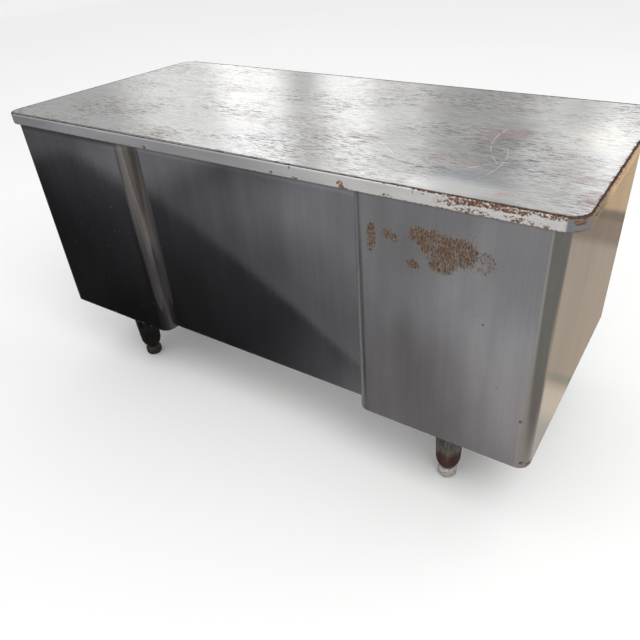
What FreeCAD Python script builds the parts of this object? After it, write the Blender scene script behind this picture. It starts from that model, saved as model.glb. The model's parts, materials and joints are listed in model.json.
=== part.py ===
import FreeCAD, Part
import Sketcher
import math
import os

# Double-pedestal sheet-steel desk, built as an assembly of separate pieces.
# Frame: +Z up, origin on the floor under the middle of the desk's outline.
# -Y is the panelled side that faces a visitor, +Y is the drawer side.
# "left" is -X and "right" is +X, "rear" is -Y and "front" is +Y. Millimetres.

doc = FreeCAD.newDocument("SteelDesk")
sheet = doc.addObject("Spreadsheet::Sheet", "dims")

DIMS = [
    ("desk_wide", 1440, "outer width over both pedestals"),
    ("desk_deep", 651, "depth of a pedestal case"),
    ("ped_wide", 406, "width of a pedestal case"),
    ("case_high", 542, "height of a pedestal case"),
    ("case_floor", 194, "floor to the bottom edge of a case"),
    ("case_round", 28, "radius of the rear vertical corners of a case"),
    ("steel", 1.2, "case and front sheet thickness"),
    ("thin", 1.0, "drawer sheet thickness"),
    ("stile", 14, "inward return at the front of a case side"),
    ("top_thick", 26, "thickness of the desk top"),
    ("over_side", 26, "top overhang at each side"),
    ("over_rear", 7, "top overhang at the panelled side"),
    ("over_front", 28, "top overhang at the drawer side"),
    ("top_round", 45, "plan radius of the top corners"),
    ("band", 1.5, "sheet thickness of the top pieces"),
    ("lip", 3, "visible lip of the edge band on the top"),
    ("groove", 2.5, "gap between lip and worksurface"),
    ("flange", 25, "bottom flange of the edge band"),
    ("ease", 0.3, "assembly clearance inside the band"),
    ("recess", 30, "modesty panel set back from the case rear"),
    ("modesty_up", 10, "modesty panel bottom above case bottom"),
    ("modesty_deep", 20, "depth of the modesty panel flanges"),
    ("pan_up", 1, "base pan above the case bottom edge"),
    ("pan_high", 24.2, "height of the base pan"),
    ("post_deep", 12, "depth of an inner post"),
    ("post_wide", 30, "width of an inner post"),
    ("channel", 1.5, "sheet thickness of channels"),
    ("rail_high", 8, "height of a divider rail"),
    ("rail_deep", 18, "depth of a divider rail"),
    ("toprail_high", 12, "height of a case top rail"),
    ("toprail_wide", 30, "width of a case top rail"),
    ("run_high", 22, "height of a drawer runner"),
    ("run_deep", 11, "depth of a drawer runner"),
    ("run_gap", 0.5, "running gap of the drawer rails"),
    ("front_deep", 18, "thickness of a drawer front"),
    ("front_gap", 2, "side gap round a drawer front"),
    ("front_wide", 374, "width of a drawer front"),
    ("front_edge", 2, "edge radius of a drawer front"),
    ("tray_long", 560, "length of a pedestal drawer tray"),
    ("tray_side", 25.2, "case side to tray side"),
    ("tray_up", 6, "tray bottom above the front's bottom"),
    ("box_front", 156, "height of a box drawer front"),
    ("box_tray", 120, "height of a box drawer tray"),
    ("file_front", 315, "height of the file drawer front"),
    ("file_tray", 262, "height of the file drawer tray"),
    ("front_one", 28.5, "bottom drawer front above case bottom"),
    ("front_two", 187.5, "middle drawer front above case bottom"),
    ("front_three", 346.5, "top drawer front above case bottom"),
    ("board_up", 506.5, "writing board above case bottom"),
    ("board_thick", 18, "writing board thickness"),
    ("board_long", 430, "writing board length"),
    ("trim_deep", 12, "depth of the writing board edge"),
    ("trim_high", 20, "height of the writing board edge"),
    ("pull_wide", 112, "length of a drawer pull"),
    ("pull_out", 22, "projection of a drawer pull"),
    ("pull_bar", 7, "thickness of the pull's bar"),
    ("pull_high", 14, "height of a drawer pull"),
    ("pull_foot", 12, "width of a pull foot"),
    ("screw_rad", 2, "radius of a small screw"),
    ("screw_hole", 2.3, "radius of its hole"),
    ("leg_in", 83, "leg axis from the case rear or front"),
    ("leg_low", 38, "floor to the bottom of a leg"),
    ("leg_top_rad", 37, "leg radius at its top"),
    ("leg_knee_rad", 29.2, "leg radius where it starts to close in"),
    ("leg_knee_up", 15, "height of that circle above the leg bottom"),
    ("leg_end_rad", 23, "leg radius at its bottom"),
    ("leg_wall", 2.2, "wall of a leg"),
    ("leg_soft", 36, "radius of the curve where it closes in"),
    ("stud_rad", 8, "radius of the leg stud"),
    ("stud_hole", 8.5, "radius of the hole for it"),
    ("chan_wide", 90, "width of a leg channel"),
    ("chan_up", 4, "leg channel above the case bottom"),
    ("chan_high", 20, "height of a leg channel"),
    ("chan_thick", 2.5, "sheet of a leg channel"),
    ("glide_rad", 23.5, "largest radius of a glide foot"),
    ("glide_flat", 18.5, "radius of its flat bottom"),
    ("glide_high", 30, "height of a glide foot"),
    ("glide_stud", 4.8, "radius of the glide stud"),
    ("glide_bore", 5.15, "radius of its hole in the leg"),
    ("mid_front", 58, "height of the centre drawer front"),
    ("mid_gap", 3, "gap round the centre drawer front"),
    ("mid_tray", 42, "height of the centre drawer tray"),
    ("mid_long", 440, "length of the centre drawer tray"),
    ("slide_high", 44, "height of the file slide's outer member"),
    ("slide_up", 146, "outer member above the case bottom"),
    ("lock_rad", 9, "radius of the lock housing"),
    ("plug_rad", 6.5, "radius of the lock plug"),
    ("plug_gap", 0.05, "running clearance of the plug"),
]
for i, (alias, value, note) in enumerate(DIMS, start=1):
    sheet.set(f"A{i}", alias)
    sheet.set(f"B{i}", str(value))
    sheet.set(f"C{i}", note)
    sheet.setAlias(f"B{i}", alias)
doc.recompute()


class Q:
    """A length that knows its value and the spreadsheet expression behind it."""

    def __init__(self, value, text):
        self.v = float(value)
        self.e = text

    def __add__(self, o):
        o = q(o)
        return Q(self.v + o.v, f"({self.e} + {o.e})")

    __radd__ = __add__

    def __sub__(self, o):
        o = q(o)
        return Q(self.v - o.v, f"({self.e} - {o.e})")

    def __rsub__(self, o):
        return q(o) - self

    def __mul__(self, k):
        return Q(self.v * k, f"({self.e} * {k})")

    __rmul__ = __mul__

    def __truediv__(self, k):
        return Q(self.v / k, f"({self.e} / {k})")

    def __neg__(self):
        return Q(-self.v, f"(0 - {self.e})")


def q(x):
    if isinstance(x, Q):
        return x
    return Q(x, repr(float(x)) if x >= 0 else f"(0 - {repr(float(-x))})")


S = {alias: Q(value, f"dims.{alias}") for alias, value, _ in DIMS}
W, D, PW, H, ZB = (S[k] for k in ("desk_wide", "desk_deep", "ped_wide", "case_high", "case_floor"))
st, th, ch = S["steel"], S["thin"], S["channel"]
YB = (S["over_rear"] - S["over_front"] - D) / 2  # rear face of the cases
YF = YB + D  # front edge of the cases
ZT = ZB + H  # underside of the top
NODES = {}


def bind(o, prop, value):
    o.setExpression(prop, q(value).e)


def place(o, x, y, z):
    o.Placement.Base = FreeCAD.Vector(q(x).v, q(y).v, q(z).v)
    bind(o, "Placement.Base.x", x)
    bind(o, "Placement.Base.y", y)
    bind(o, "Placement.Base.z", z)


def box(name, x0, x1, y0, y1, z0, z1):
    """Part::Box from its two corners."""
    o = doc.addObject("Part::Box", name)
    bind(o, "Length", q(x1) - x0)
    bind(o, "Width", q(y1) - y0)
    bind(o, "Height", q(z1) - z0)
    place(o, x0, y0, z0)
    return o


def cyl(name, x, y, z, rad, length, axis="Z"):
    """Part::Cylinder from (x, y, z), along +axis."""
    o = doc.addObject("Part::Cylinder", name)
    bind(o, "Radius", rad)
    bind(o, "Height", length)
    if axis == "X":
        o.Placement.Rotation = FreeCAD.Rotation(FreeCAD.Vector(0, 1, 0), 90)
    elif axis == "Y":
        o.Placement.Rotation = FreeCAD.Rotation(FreeCAD.Vector(1, 0, 0), -90)
    place(o, x, y, z)
    return o


def fuse(name, parts):
    if len(parts) == 1:
        return parts[0]
    o = doc.addObject("Part::MultiFuse", name)
    o.Shapes = parts
    o.Refine = True
    return o


def cut(name, base, tool):
    if isinstance(tool, list):
        tool = fuse(name + "_tools", tool)
    o = doc.addObject("Part::Cut", name)
    o.Base = base
    o.Tool = tool
    return o


def group(name, parts):
    o = doc.addObject("Part::Compound", name)
    o.Links = parts
    return o


def body(name):
    return doc.addObject("PartDesign::Body", name)


def plane_of(b, role):
    return [f for f in b.Origin.OriginFeatures if f.Role == role][0]


def sketch(b, name, plane, points, lift=0):
    """A closed polygon on an origin plane of the body; every corner's two coordinates are driven."""
    sk = b.newObject("Sketcher::SketchObject", name)
    sk.AttachmentSupport = [(plane_of(b, plane + "_Plane"), "")]
    sk.MapMode = "FlatFace"
    lift = q(lift)
    if plane == "XZ":
        lift = -lift
    sk.AttachmentOffset = FreeCAD.Placement(FreeCAD.Vector(0, 0, lift.v), FreeCAD.Rotation())
    sk.setExpression("AttachmentOffset.Base.z", lift.e)
    pts = [(q(a), q(c)) for a, c in points]
    n = len(pts)
    for i in range(n):
        a, c = pts[i], pts[(i + 1) % n]
        sk.addGeometry(
            Part.LineSegment(FreeCAD.Vector(a[0].v, a[1].v, 0), FreeCAD.Vector(c[0].v, c[1].v, 0)),
            False,
        )
    for i in range(n):
        sk.addConstraint(Sketcher.Constraint("Coincident", i, 2, (i + 1) % n, 1))
    for i in range(n):
        for kind, value, axis in (("DistanceX", pts[i][0], -2), ("DistanceY", pts[i][1], -1)):
            if abs(value.v) < 1e-9:
                sk.addConstraint(Sketcher.Constraint("PointOnObject", i, 1, axis))
            else:
                c = sk.addConstraint(Sketcher.Constraint(kind, -1, 1, i, 1, value.v))
                sk.setExpression(f"Constraints[{c}]", value.e)
    return sk


def pad(b, name, plane, points, start, length):
    """Pads the polygon along the positive third axis, from start."""
    sk = sketch(b, name + "_sketch", plane, points, start)
    p = b.newObject("PartDesign::Pad", name)
    p.Profile = sk
    bind(p, "Length", length)
    p.Reversed = plane == "XZ"
    doc.recompute()
    return p


def pocket(b, name, plane, points, start, length, up):
    """Cuts the polygon from start, along the positive third axis if up, else the other way."""
    sk = sketch(b, name + "_sketch", plane, points, start)
    before = b.Shape.Volume
    p = b.newObject("PartDesign::Pocket", name)
    p.Profile = sk
    bind(p, "Length", length)
    p.Reversed = up if plane != "XZ" else not up
    doc.recompute()
    if b.Shape.Volume > before - 1e-3:
        raise SystemExit(f"{name} cuts nothing")
    return p


def rect(x0, x1, y0, y1):
    return [(x0, y0), (x1, y0), (x1, y1), (x0, y1)]


def fillet(b, name, base, chosen, radius):
    f = b.newObject("PartDesign::Fillet", name)
    f.Base = (base, chosen)
    bind(f, "Radius", radius)
    doc.recompute()
    if "Invalid" in f.State or f.Shape.isNull():
        raise SystemExit(f"{name} failed")
    return f


def upright_edges(feature, spots):
    """Names of the vertical edges at these plan positions."""
    out = []
    for i, e in enumerate(feature.Shape.Edges, start=1):
        a, c = e.Vertexes[0].Point, e.Vertexes[-1].Point
        if abs(a.z - c.z) > 1 and math.hypot(a.x - c.x, a.y - c.y) < 1e-4:
            if any(math.hypot(a.x - q(x).v, a.y - q(y).v) < 0.02 for x, y in spots):
                out.append(f"Edge{i}")
    if len(out) != len(spots):
        raise SystemExit(f"{feature.Name}: {len(out)} of {len(spots)} corners found")
    return out


def edges_where(feature, test):
    return [f"Edge{i}" for i, e in enumerate(feature.Shape.Edges, start=1) if test(e)]


def node(label, o):
    o.Label = label
    NODES[label] = o
    return o


def rounded(name, inset, z0, height, radius):
    """A flat rounded rectangle of the desk top's outline, moved in by inset."""
    b = body(name)
    x = W / 2 + S["over_side"] - inset
    y0 = YB - S["over_rear"] + inset
    y1 = YF + S["over_front"] - inset
    p = pad(b, name + "_pad", "XY", rect(-x, x, y0, y1), z0, height)
    fillet(b, name + "_round", p, upright_edges(p, [(-x, y0), (x, y0), (x, y1), (-x, y1)]), radius)
    return b


# ---------------------------------------------------------------- desk top
zs = ZT + S["top_thick"]
outer = rounded("band_outer", 0, ZT, S["top_thick"], S["top_round"])
hollow = rounded("band_hollow", S["band"], ZT + S["band"], S["top_thick"] - S["band"] * 2, S["top_round"] - S["band"])
mouth = rounded("band_mouth", S["lip"], zs - S["band"] - 0.5, S["band"] + 1.5, S["top_round"] - S["lip"])
below = rounded("band_below", S["flange"], ZT - 1, S["band"] + 2, S["top_round"] - S["flange"])
node("top_edge_band", cut("edge_band", outer, [hollow, mouth, below]))
node("top_worksurface", rounded("worksurface", S["lip"] + S["groove"], zs - S["band"], S["band"], S["top_round"] - S["lip"] - S["groove"]))

# screws that hold the top: four through the top rails of each case
bolt_spots = []
for sx, ox in ((-1, -W / 2), (1, W / 2 - PW)):
    for bx in (PW * 0.25, PW * 0.75):
        for by in (YB + 51, YB + 621):
            bolt_spots.append((ox + bx, by))


def bolt_bores(name, radius, z0, length):
    return [cyl(f"{name}_{i}", x, y, z0, radius, length) for i, (x, y) in enumerate(bolt_spots)]


core = rounded("core", S["band"] + S["ease"], ZT + S["band"], S["top_thick"] - S["band"] * 2, S["top_round"] - S["band"] - S["ease"])
node("top_core_board", cut("core_drilled", core, bolt_bores("core_bore", 3.3, ZT, 17)))
pan = rounded("under_pan", S["flange"] + S["ease"], ZT, S["band"], S["top_round"] - S["flange"] - S["ease"])
node("top_under_pan", cut("under_pan_drilled", pan, bolt_bores("pan_bore", 3.3, ZT - 1, 6)))
bolts = []
for i, (x, y) in enumerate(bolt_spots):
    zr = ZT - S["toprail_high"] + ch
    b = body(f"top_bolt_{i}")
    hexagon = [(6 * math.cos(math.radians(60 * k)), 6 * math.sin(math.radians(60 * k))) for k in range(6)]
    pad(b, f"top_bolt_head_{i}", "XY", hexagon, 0, 4)
    place(b, x, y, zr - ch - 4)
    shank = cyl(f"top_bolt_shank_{i}", x, y, zr - ch - 1, 3, 25)
    bolts.append(fuse(f"top_bolt_whole_{i}", [b, shank]))
node("top_mounting_bolts", group("top_bolts", bolts))


# ---------------------------------------------------------------- pedestal cases
leg_rear = YB + S["leg_in"]
leg_front = YF - S["leg_in"]
post_in = st + S["post_deep"]  # inner face of the posts, from the case side
post_y = (YB + 76, YB + 599)
screw_y = YB + S["recess"] + S["modesty_deep"] / 2
screw_z = (ZB + 60, ZB + 270, ZB + 480)


def c_post(name, wall, into, y0):
    """A post of C section, open towards the case side; into is +1 or -1."""
    d, t, w = S["post_deep"], ch, S["post_wide"]
    x = lambda a: wall + a if into > 0 else wall - a
    pts = [(x(q(0)), y0), (x(d), y0), (x(d), y0 + w), (x(q(0)), y0 + w), (x(q(0)), y0 + w - t), (x(d - t), y0 + w - t), (x(d - t), y0 + t), (x(q(0)), y0 + t)]
    b = body(name)
    pad(b, name + "_pad", "XY", pts, ZB + S["pan_up"] + S["pan_high"], H - S["pan_up"] - S["pan_high"] - S["toprail_high"])
    return b


def c_channel(name, wall, into, z0, height, depth, thick, y0, y1):
    """A channel along Y, its web on wall and its flanges pointing into the case."""
    x = lambda a: wall + a if into > 0 else wall - a
    pts = [(x(q(0)), z0), (x(depth), z0), (x(depth), z0 + thick), (x(thick), z0 + thick), (x(thick), z0 + height - thick), (x(depth), z0 + height - thick), (x(depth), z0 + height), (x(q(0)), z0 + height)]
    b = body(name)
    pad(b, name + "_pad", "XZ", pts, y0, q(y1) - y0)
    return b


def x_channel(name, x0, x1, y0, depth, z0, height, thick, open_to=-1):
    """A channel along X, open towards -Y (open_to -1), +Y (1) or down (0)."""
    y0, z0 = q(y0), q(z0)
    y1, z1, t = y0 + depth, z0 + height, thick
    if open_to < 0:
        pts = [(y0, z0), (y1, z0), (y1, z1), (y0, z1), (y0, z1 - t), (y1 - t, z1 - t), (y1 - t, z0 + t), (y0, z0 + t)]
    elif open_to > 0:
        pts = [(y1, z0), (y1, z0 + t), (y0 + t, z0 + t), (y0 + t, z1 - t), (y1, z1 - t), (y1, z1), (y0, z1), (y0, z0)]
    else:
        pts = [(y0, z0), (y0 + t, z0), (y0 + t, z1 - t), (y1 - t, z1 - t), (y1 - t, z0), (y1, z0), (y1, z1), (y0, z1)]
    b = body(name)
    pad(b, name + "_pad", "YZ", pts, x0, q(x1) - x0)
    return b


def case(side, ox, inner_wall):
    """ox is the case's low-X side. inner_wall is 'high' or 'low': the side that faces the kneehole."""
    b = body(side + "_shell_body")
    f = S["stile"]
    o = q(0)
    pts = [(f, D), (o, D), (o, o), (PW, o), (PW, D), (PW - f, D), (PW - f, D - st), (PW - st, D - st), (PW - st, st), (st, st), (st, D - st), (f, D - st)]
    p = pad(b, side + "_shell_pad", "XY", pts, 0, H)
    p = fillet(b, side + "_shell_out", p, upright_edges(p, [(o, o), (PW, o)]), S["case_round"])
    p = fillet(b, side + "_shell_in", p, upright_edges(p, [(st, st), (PW - st, st)]), S["case_round"] - st)
    p = fillet(b, side + "_shell_front", p, upright_edges(p, [(o, D), (PW, D)]), 2)
    place(b, ox, YB, ZB)
    xw = ox + PW - st - 1 if inner_wall == "high" else ox - 1
    holes = [cyl(f"{side}_wall_hole_{i}", xw, screw_y, z, S["screw_hole"] + 0.5, st + 2, "X") for i, z in enumerate(screw_z)]
    node(side + "_case_shell", cut(side + "_shell", b, holes))

    b = body(side + "_pan_body")
    pad(b, side + "_pan_pad", "XY", rect(st, PW - st, st, D - st), S["pan_up"], S["pan_high"])
    p = pocket(b, side + "_pan_hollow", "XY", rect(st * 2, PW - st * 2, st * 2, D - st * 2), S["pan_up"], S["pan_high"] - st, True)
    p = fillet(b, side + "_pan_in", p, upright_edges(p, [(st * 2, st * 2), (PW - st * 2, st * 2)]), S["case_round"] - st)
    p = fillet(b, side + "_pan_out", p, upright_edges(p, [(st, st), (PW - st, st)]), S["case_round"])
    place(b, ox, YB, ZB)
    node(side + "_case_base_pan", b)

    # leg channel: a U with its web down, studs of both legs through the web
    c, w, t = ox + PW / 2, S["chan_wide"] / 2, S["chan_thick"]
    z0, z1 = ZB + S["chan_up"], ZB + S["chan_up"] + S["chan_high"]
    b = body(side + "_chan_body")
    pts = [(c - w, z0), (c + w, z0), (c + w, z1), (c + w - t, z1), (c + w - t, z0 + t), (c - w + t, z0 + t), (c - w + t, z1), (c - w, z1)]
    pad(b, side + "_chan_pad", "XZ", pts, YB + 8, D - 16)
    holes = [cyl(f"{side}_chan_hole_{i}", c, y, z0 - 1, S["stud_hole"], t + 2) for i, y in enumerate((leg_rear, leg_front))]
    node(side + "_leg_channel", cut(side + "_channel", b, holes))

    # posts, divider rails
    frame = []
    for i, y in enumerate(post_y):
        frame.append(c_post(f"{side}_post_low_{i}", ox + st, 1, y))
        frame.append(c_post(f"{side}_post_high_{i}", ox + PW - st, -1, y))
    levels = [S["front_three"] - 5.5, S["board_up"] - 10] if side == "right" else [S["front_two"] - 5.5, S["front_three"] - 5.5, S["board_up"] - 10]
    for i, z in enumerate(levels):
        frame.append(x_channel(f"{side}_rail_{i}", ox + post_in, ox + PW - post_in, YB + 614.5, S["rail_deep"], ZB + z, S["rail_high"], st))
    frame.append(x_channel(side + "_header", ox + S["stile"], ox + PW - S["stile"], YF - 12, q(12), ZT - 14, q(14), st))
    node(side + "_inner_frame", group(side + "_frame", frame))

    # top rails: hat channels across the case, open down
    rails = []
    for i, y in enumerate((YB + 36, YB + 606)):
        r = x_channel(f"{side}_toprail_{i}", ox + st, ox + PW - st, y, S["toprail_wide"], ZT - S["toprail_high"], S["toprail_high"], ch, 2)
        rails.append(r)
    tools = []
    for i, (x, y) in enumerate(bolt_spots):
        if abs(x.v - (ox + PW / 2).v) < PW.v / 2:
            tools.append(cyl(f"{side}_toprail_bore_{i}", x, y, ZT - S["toprail_high"] - 1, 3.6, S["toprail_high"] + 2))
    drilled = []
    for k, r in enumerate(rails):
        mine = [t for t in tools if abs(t.Placement.Base.y - (YB + (51 if k == 0 else 621)).v) < 1]
        drilled.append(cut(f"{side}_toprail_drilled_{k}", r, mine))
    node(side + "_case_top_rails", group(side + "_toprails", drilled))


# Top rails have their web down here, so that the bolt heads bear on it from below.
def x_channel_web_down(y0, y1, z0, z1, t):
    return [(y0, z0), (y1, z0), (y1, z1), (y1 - t, z1), (y1 - t, z0 + t), (y0 + t, z0 + t), (y0 + t, z1), (y0, z1)]


_plain_channel = x_channel


def x_channel(name, x0, x1, y0, depth, z0, height, thick, open_to=-1):
    if open_to != 2:
        return _plain_channel(name, x0, x1, y0, depth, z0, height, thick, open_to)
    y0, z0 = q(y0), q(z0)
    b = body(name)
    pad(b, name + "_pad", "YZ", x_channel_web_down(y0, y0 + depth, z0, z0 + height, thick), x0, q(x1) - x0)
    return b


LEFT, RIGHT = -W / 2, W / 2 - PW
case("left", LEFT, "high")
case("right", RIGHT, "low")

# ---------------------------------------------------------------- runners
run_y0, run_y1 = YB + 74, YB + 629


def runner_pair(name, low_wall, high_wall, z, y0, y1):
    return [
        c_channel(name + "_a", low_wall, 1, z, S["run_high"], S["run_deep"], ch, y0, y1),
        c_channel(name + "_b", high_wall, -1, z, S["run_high"], S["run_deep"], ch, y0, y1),
    ]


def drawer_run(level):
    """Height of a box drawer's runner for a front at this level."""
    return ZB + level + S["tray_up"] + 30


board_run = ZB + S["board_up"] - ch - S["run_gap"]
for side, ox, levels in (("left", LEFT, ("front_one", "front_two", "front_three")), ("right", RIGHT, ("front_three",))):
    made = []
    for k in levels:
        made += runner_pair(f"{side}_run_{k}", ox + post_in, ox + PW - post_in, drawer_run(S[k]), run_y0, run_y1)
    made += runner_pair(f"{side}_run_board", ox + post_in, ox + PW - post_in, board_run, run_y0, YB + 638.5)
    node(side + "_drawer_runners", group(side + "_runners", made))

# file drawer slides: outer member on the posts, middle member, inner member on the tray
sz = ZB + S["slide_up"]
node("file_slide_outer", group("slide_outer", [
    c_channel("slide_outer_a", RIGHT + post_in, 1, sz, S["slide_high"], q(5.7), ch, run_y0, run_y1),
    c_channel("slide_outer_b", RIGHT + PW - post_in, -1, sz, S["slide_high"], q(5.7), ch, run_y0, run_y1),
]))
node("file_slide_middle", group("slide_middle", [
    c_channel("slide_middle_a", RIGHT + post_in + 2.2, 1, sz + 3, S["slide_high"] - 6, q(7), ch, run_y0 + 6, run_y1 - 9),
    c_channel("slide_middle_b", RIGHT + PW - post_in - 2.2, -1, sz + 3, S["slide_high"] - 6, q(7), ch, run_y0 + 6, run_y1 - 9),
]))
node("file_slide_inner", group("slide_inner", [
    c_channel("slide_inner_a", RIGHT + S["tray_side"], -1, sz + 6, S["slide_high"] - 12, q(7.7), ch, run_y0 + 6, run_y1 - 1),
    c_channel("slide_inner_b", RIGHT + PW - S["tray_side"], 1, sz + 6, S["slide_high"] - 12, q(7.7), ch, run_y0 + 6, run_y1 - 1),
]))


# ---------------------------------------------------------------- pedestal drawers
def pull_screws(name, cx, z, y_face):
    """Two screws from inside the tray, through the hollow front, into the feet of the pull."""
    reach = S["pull_wide"] / 2 - S["pull_foot"] / 2 - 1
    out, holes = [], []
    for i, s in enumerate((-1, 1)):
        x = cx + reach * s
        shank = cyl(f"{name}_shank_{i}", x, y_face - S["front_deep"] - th - 0.5, z, S["screw_rad"], S["front_deep"] + th + 6, "Y")
        head = cyl(f"{name}_head_{i}", x, y_face - S["front_deep"] - th - 2.5, z, 4, 2.5, "Y")
        out.append(fuse(f"{name}_screw_{i}", [head, shank]))
        holes.append((x, z))
    return out, holes


def hole_tools(name, holes, y0, y1, radius):
    return [cyl(f"{name}_{i}", x, y0, z, radius, q(y1) - y0, "Y") for i, (x, z) in enumerate(holes)]


def hollow_front(name, x0, x1, z0, z1, tray_x0, tray_x1, holes, more=()):
    """A folded front: outer face, returns all round, and return flanges that the tray closes."""
    b = body(name + "_body")
    p = pad(b, name + "_pad", "XZ", rect(x0, x1, z0, z1), YF - S["front_deep"], S["front_deep"])
    yf = YF.v
    chosen = edges_where(p, lambda e: all(abs(v.Point.y - yf) < 1e-4 for v in e.Vertexes))
    fillet(b, name + "_soft", p, chosen, S["front_edge"])
    hollow = box(name + "_hollow", x0 + st, x1 - st, YF - S["front_deep"] + st, YF - st, z0 + st, z1 - st)
    mouth = box(name + "_mouth", x0 + 16, x1 - 16, YF - S["front_deep"] - 1, YF - S["front_deep"] + st + 1, z0 + 12, z1 - 12)
    tools = [hollow, mouth] + hole_tools(name + "_bore", holes, YF - st - 1, YF + 1, S["screw_hole"]) + list(more)
    return cut(name, b, tools)


def tray(name, x0, x1, y0, y1, z0, height, holes, rails, more=()):
    """A drawer tray of spot-welded sheets, open on top, with its side rails."""
    z0 = q(z0)
    z1, zt = z0 + th, z0 + height
    front = box(name + "_front_sheet", x0 + th, x1 - th, y1 - th, y1, z1, zt)
    tools = hole_tools(name + "_bore", holes, y1 - th - 1, y1 + 1, S["screw_hole"]) + list(more)
    sheets = [
        box(name + "_bottom", x0, x1, y0, y1, z0, z1),
        box(name + "_side_low", x0, x0 + th, y0, y1, z1, zt),
        box(name + "_side_high", x1 - th, x1, y0, y1, z1, zt),
        box(name + "_back", x0 + th, x1 - th, y0, y0 + th, z1, zt),
        cut(name + "_front_drilled", front, tools) if tools else front,
    ]
    return group(name + "_sheets", sheets + rails)


def side_rails(name, x0, x1, z, y0, y1):
    """Folded channels on the tray sides that run in the runners."""
    deep = S["tray_side"] - post_in - ch - S["run_gap"]
    z0, high = z + ch + S["run_gap"], S["run_high"] - ch * 2 - S["run_gap"] * 2
    return [c_channel(name + "_rail_a", x0, -1, z0, high, deep, th, y0, y1), c_channel(name + "_rail_b", x1, 1, z0, high, deep, th, y0, y1)]


def bar_pull(name, cx, z):
    """A bridge pull with tapering feet, its screw holes blind in the feet."""
    w, o, t, f = S["pull_wide"] / 2, S["pull_out"], S["pull_bar"], S["pull_foot"]
    b = body(name + "_body")
    pts = [(cx - w, YF), (cx - w + f, YF), (cx - w + f + 2, YF + o - t), (cx + w - f - 2, YF + o - t), (cx + w - f, YF), (cx + w, YF), (cx + w - 5, YF + o), (cx - w + 5, YF + o)]
    p = pad(b, name + "_pad", "XY", pts, z - S["pull_high"] / 2, S["pull_high"])
    yf = YF.v
    chosen = edges_where(p, lambda e: any(v.Point.y > yf + 5 for v in e.Vertexes))
    fillet(b, name + "_soft", p, chosen, 2)
    return b


def drawer(name, ox, level, front_high, tray_high, runner):
    x0 = ox + S["stile"] + S["front_gap"]
    x1 = x0 + S["front_wide"]
    z0 = ZB + level
    cx = ox + PW / 2
    zp = z0 + front_high - 46
    screws, holes = pull_screws(name + "_pull", cx, zp, YF)
    node(name + "_front", hollow_front(name + "_face", x0, x1, z0, z0 + front_high, None, None, holes))
    pull = bar_pull(name + "_bar", cx, zp)
    pull = cut(name + "_bar_drilled", pull, hole_tools(name + "_bar_bore", holes, YF - 1, YF + 6, S["screw_hole"]))
    node(name + "_pull", group(name + "_pull_set", [pull] + screws))
    y1 = YF - S["front_deep"]
    y0 = y1 - S["tray_long"]
    tx0, tx1 = ox + S["tray_side"], ox + PW - S["tray_side"]
    rails = side_rails(name, tx0, tx1, runner, YB + 80, YB + 628) if runner is not None else []
    node(name + "_tray", tray(name + "_box", tx0, tx1, y0, y1, z0 + S["tray_up"], tray_high, holes, rails))


for label, ox, key in (("left_bottom_drawer", LEFT, "front_one"), ("left_middle_drawer", LEFT, "front_two"), ("left_top_drawer", LEFT, "front_three"), ("right_top_drawer", RIGHT, "front_three")):
    drawer(label, ox, S[key], S["box_front"], S["box_tray"], drawer_run(S[key]))
drawer("file_drawer", RIGHT, S["front_one"], S["file_front"], S["file_tray"], None)

# follower: a bent plate that stands on the file tray's bottom
fz = ZB + S["front_one"] + S["tray_up"] + th
fy = YB + 110
b = body("follower_body")
pad(b, "follower_pad", "YZ", [(fy, fz + 0.3), (fy + 70, fz + 0.3), (fy + 70, fz + 2.3), (fy + 2, fz + 2.3), (fy + 2, fz + 200), (fy, fz + 200)], RIGHT + S["tray_side"] + 8, PW - S["tray_side"] * 2 - 16)
node("file_follower", b)

# label holder on the file drawer front: a frame with a window over a blank card
lx, lz = RIGHT + PW / 2, ZB + S["front_one"] + S["file_front"] - 96
frame = box("label_frame", lx - 40, lx + 40, YF, YF + 2.4, lz - 18, lz + 18)
window = box("label_window", lx - 35, lx + 35, YF + 0.8, YF + 3, lz - 13, lz + 20)
node("file_label_holder", cut("label", frame, window))

# ---------------------------------------------------------------- writing boards
for side, ox in (("left", LEFT), ("right", RIGHT)):
    x0 = ox + post_in + ch + S["run_gap"]
    x1 = ox + PW - post_in - ch - S["run_gap"]
    z0 = ZB + S["board_up"]
    y1 = YF - S["trim_deep"]
    node(side + "_writing_board", box(side + "_board", x0, x1, y1 - S["board_long"], y1, z0, z0 + S["board_thick"]))
    zt = z0 - (S["trim_high"] - S["board_thick"]) / 2
    b = body(side + "_trim_body")
    pad(b, side + "_trim_pad", "YZ", [(y1, zt), (y1 + 5, zt), (YF, zt + 7), (YF, zt + S["trim_high"]), (y1, zt + S["trim_high"])], ox + S["stile"] + S["front_gap"], S["front_wide"])
    node(side + "_writing_board_edge", b)

# ---------------------------------------------------------------- centre drawer
xi = W / 2 - PW  # inner side of the cases
mz0 = ZT - S["mid_gap"] - S["mid_front"]
mrun = mz0 + 15
node("center_drawer_runners", group("mid_runners", runner_pair("mid_run", -xi, xi, mrun, YB + 188, YB + 628)))
mx = xi - S["mid_gap"]
my1 = YF - S["front_deep"]
my0 = my1 - S["mid_long"]
tx = xi - (S["run_deep"] + 1)
rail_deep = S["run_deep"] + 1 - ch - S["run_gap"]
rz0, rail_high = mrun + ch + S["run_gap"], S["run_high"] - ch * 2 - S["run_gap"] * 2
mrails = [
    c_channel("mid_rail_a", -tx, -1, rz0, rail_high, rail_deep, th, YB + 194, YB + 627),
    c_channel("mid_rail_b", tx, 1, rz0, rail_high, rail_deep, th, YB + 194, YB + 627),
]
lock_z = mz0 + S["mid_front"] / 2
lock_hole_front = cyl("lock_hole_front", 0, my1 - 1, lock_z, S["lock_rad"] + 0.2, S["front_deep"] + 2, "Y")
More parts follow.
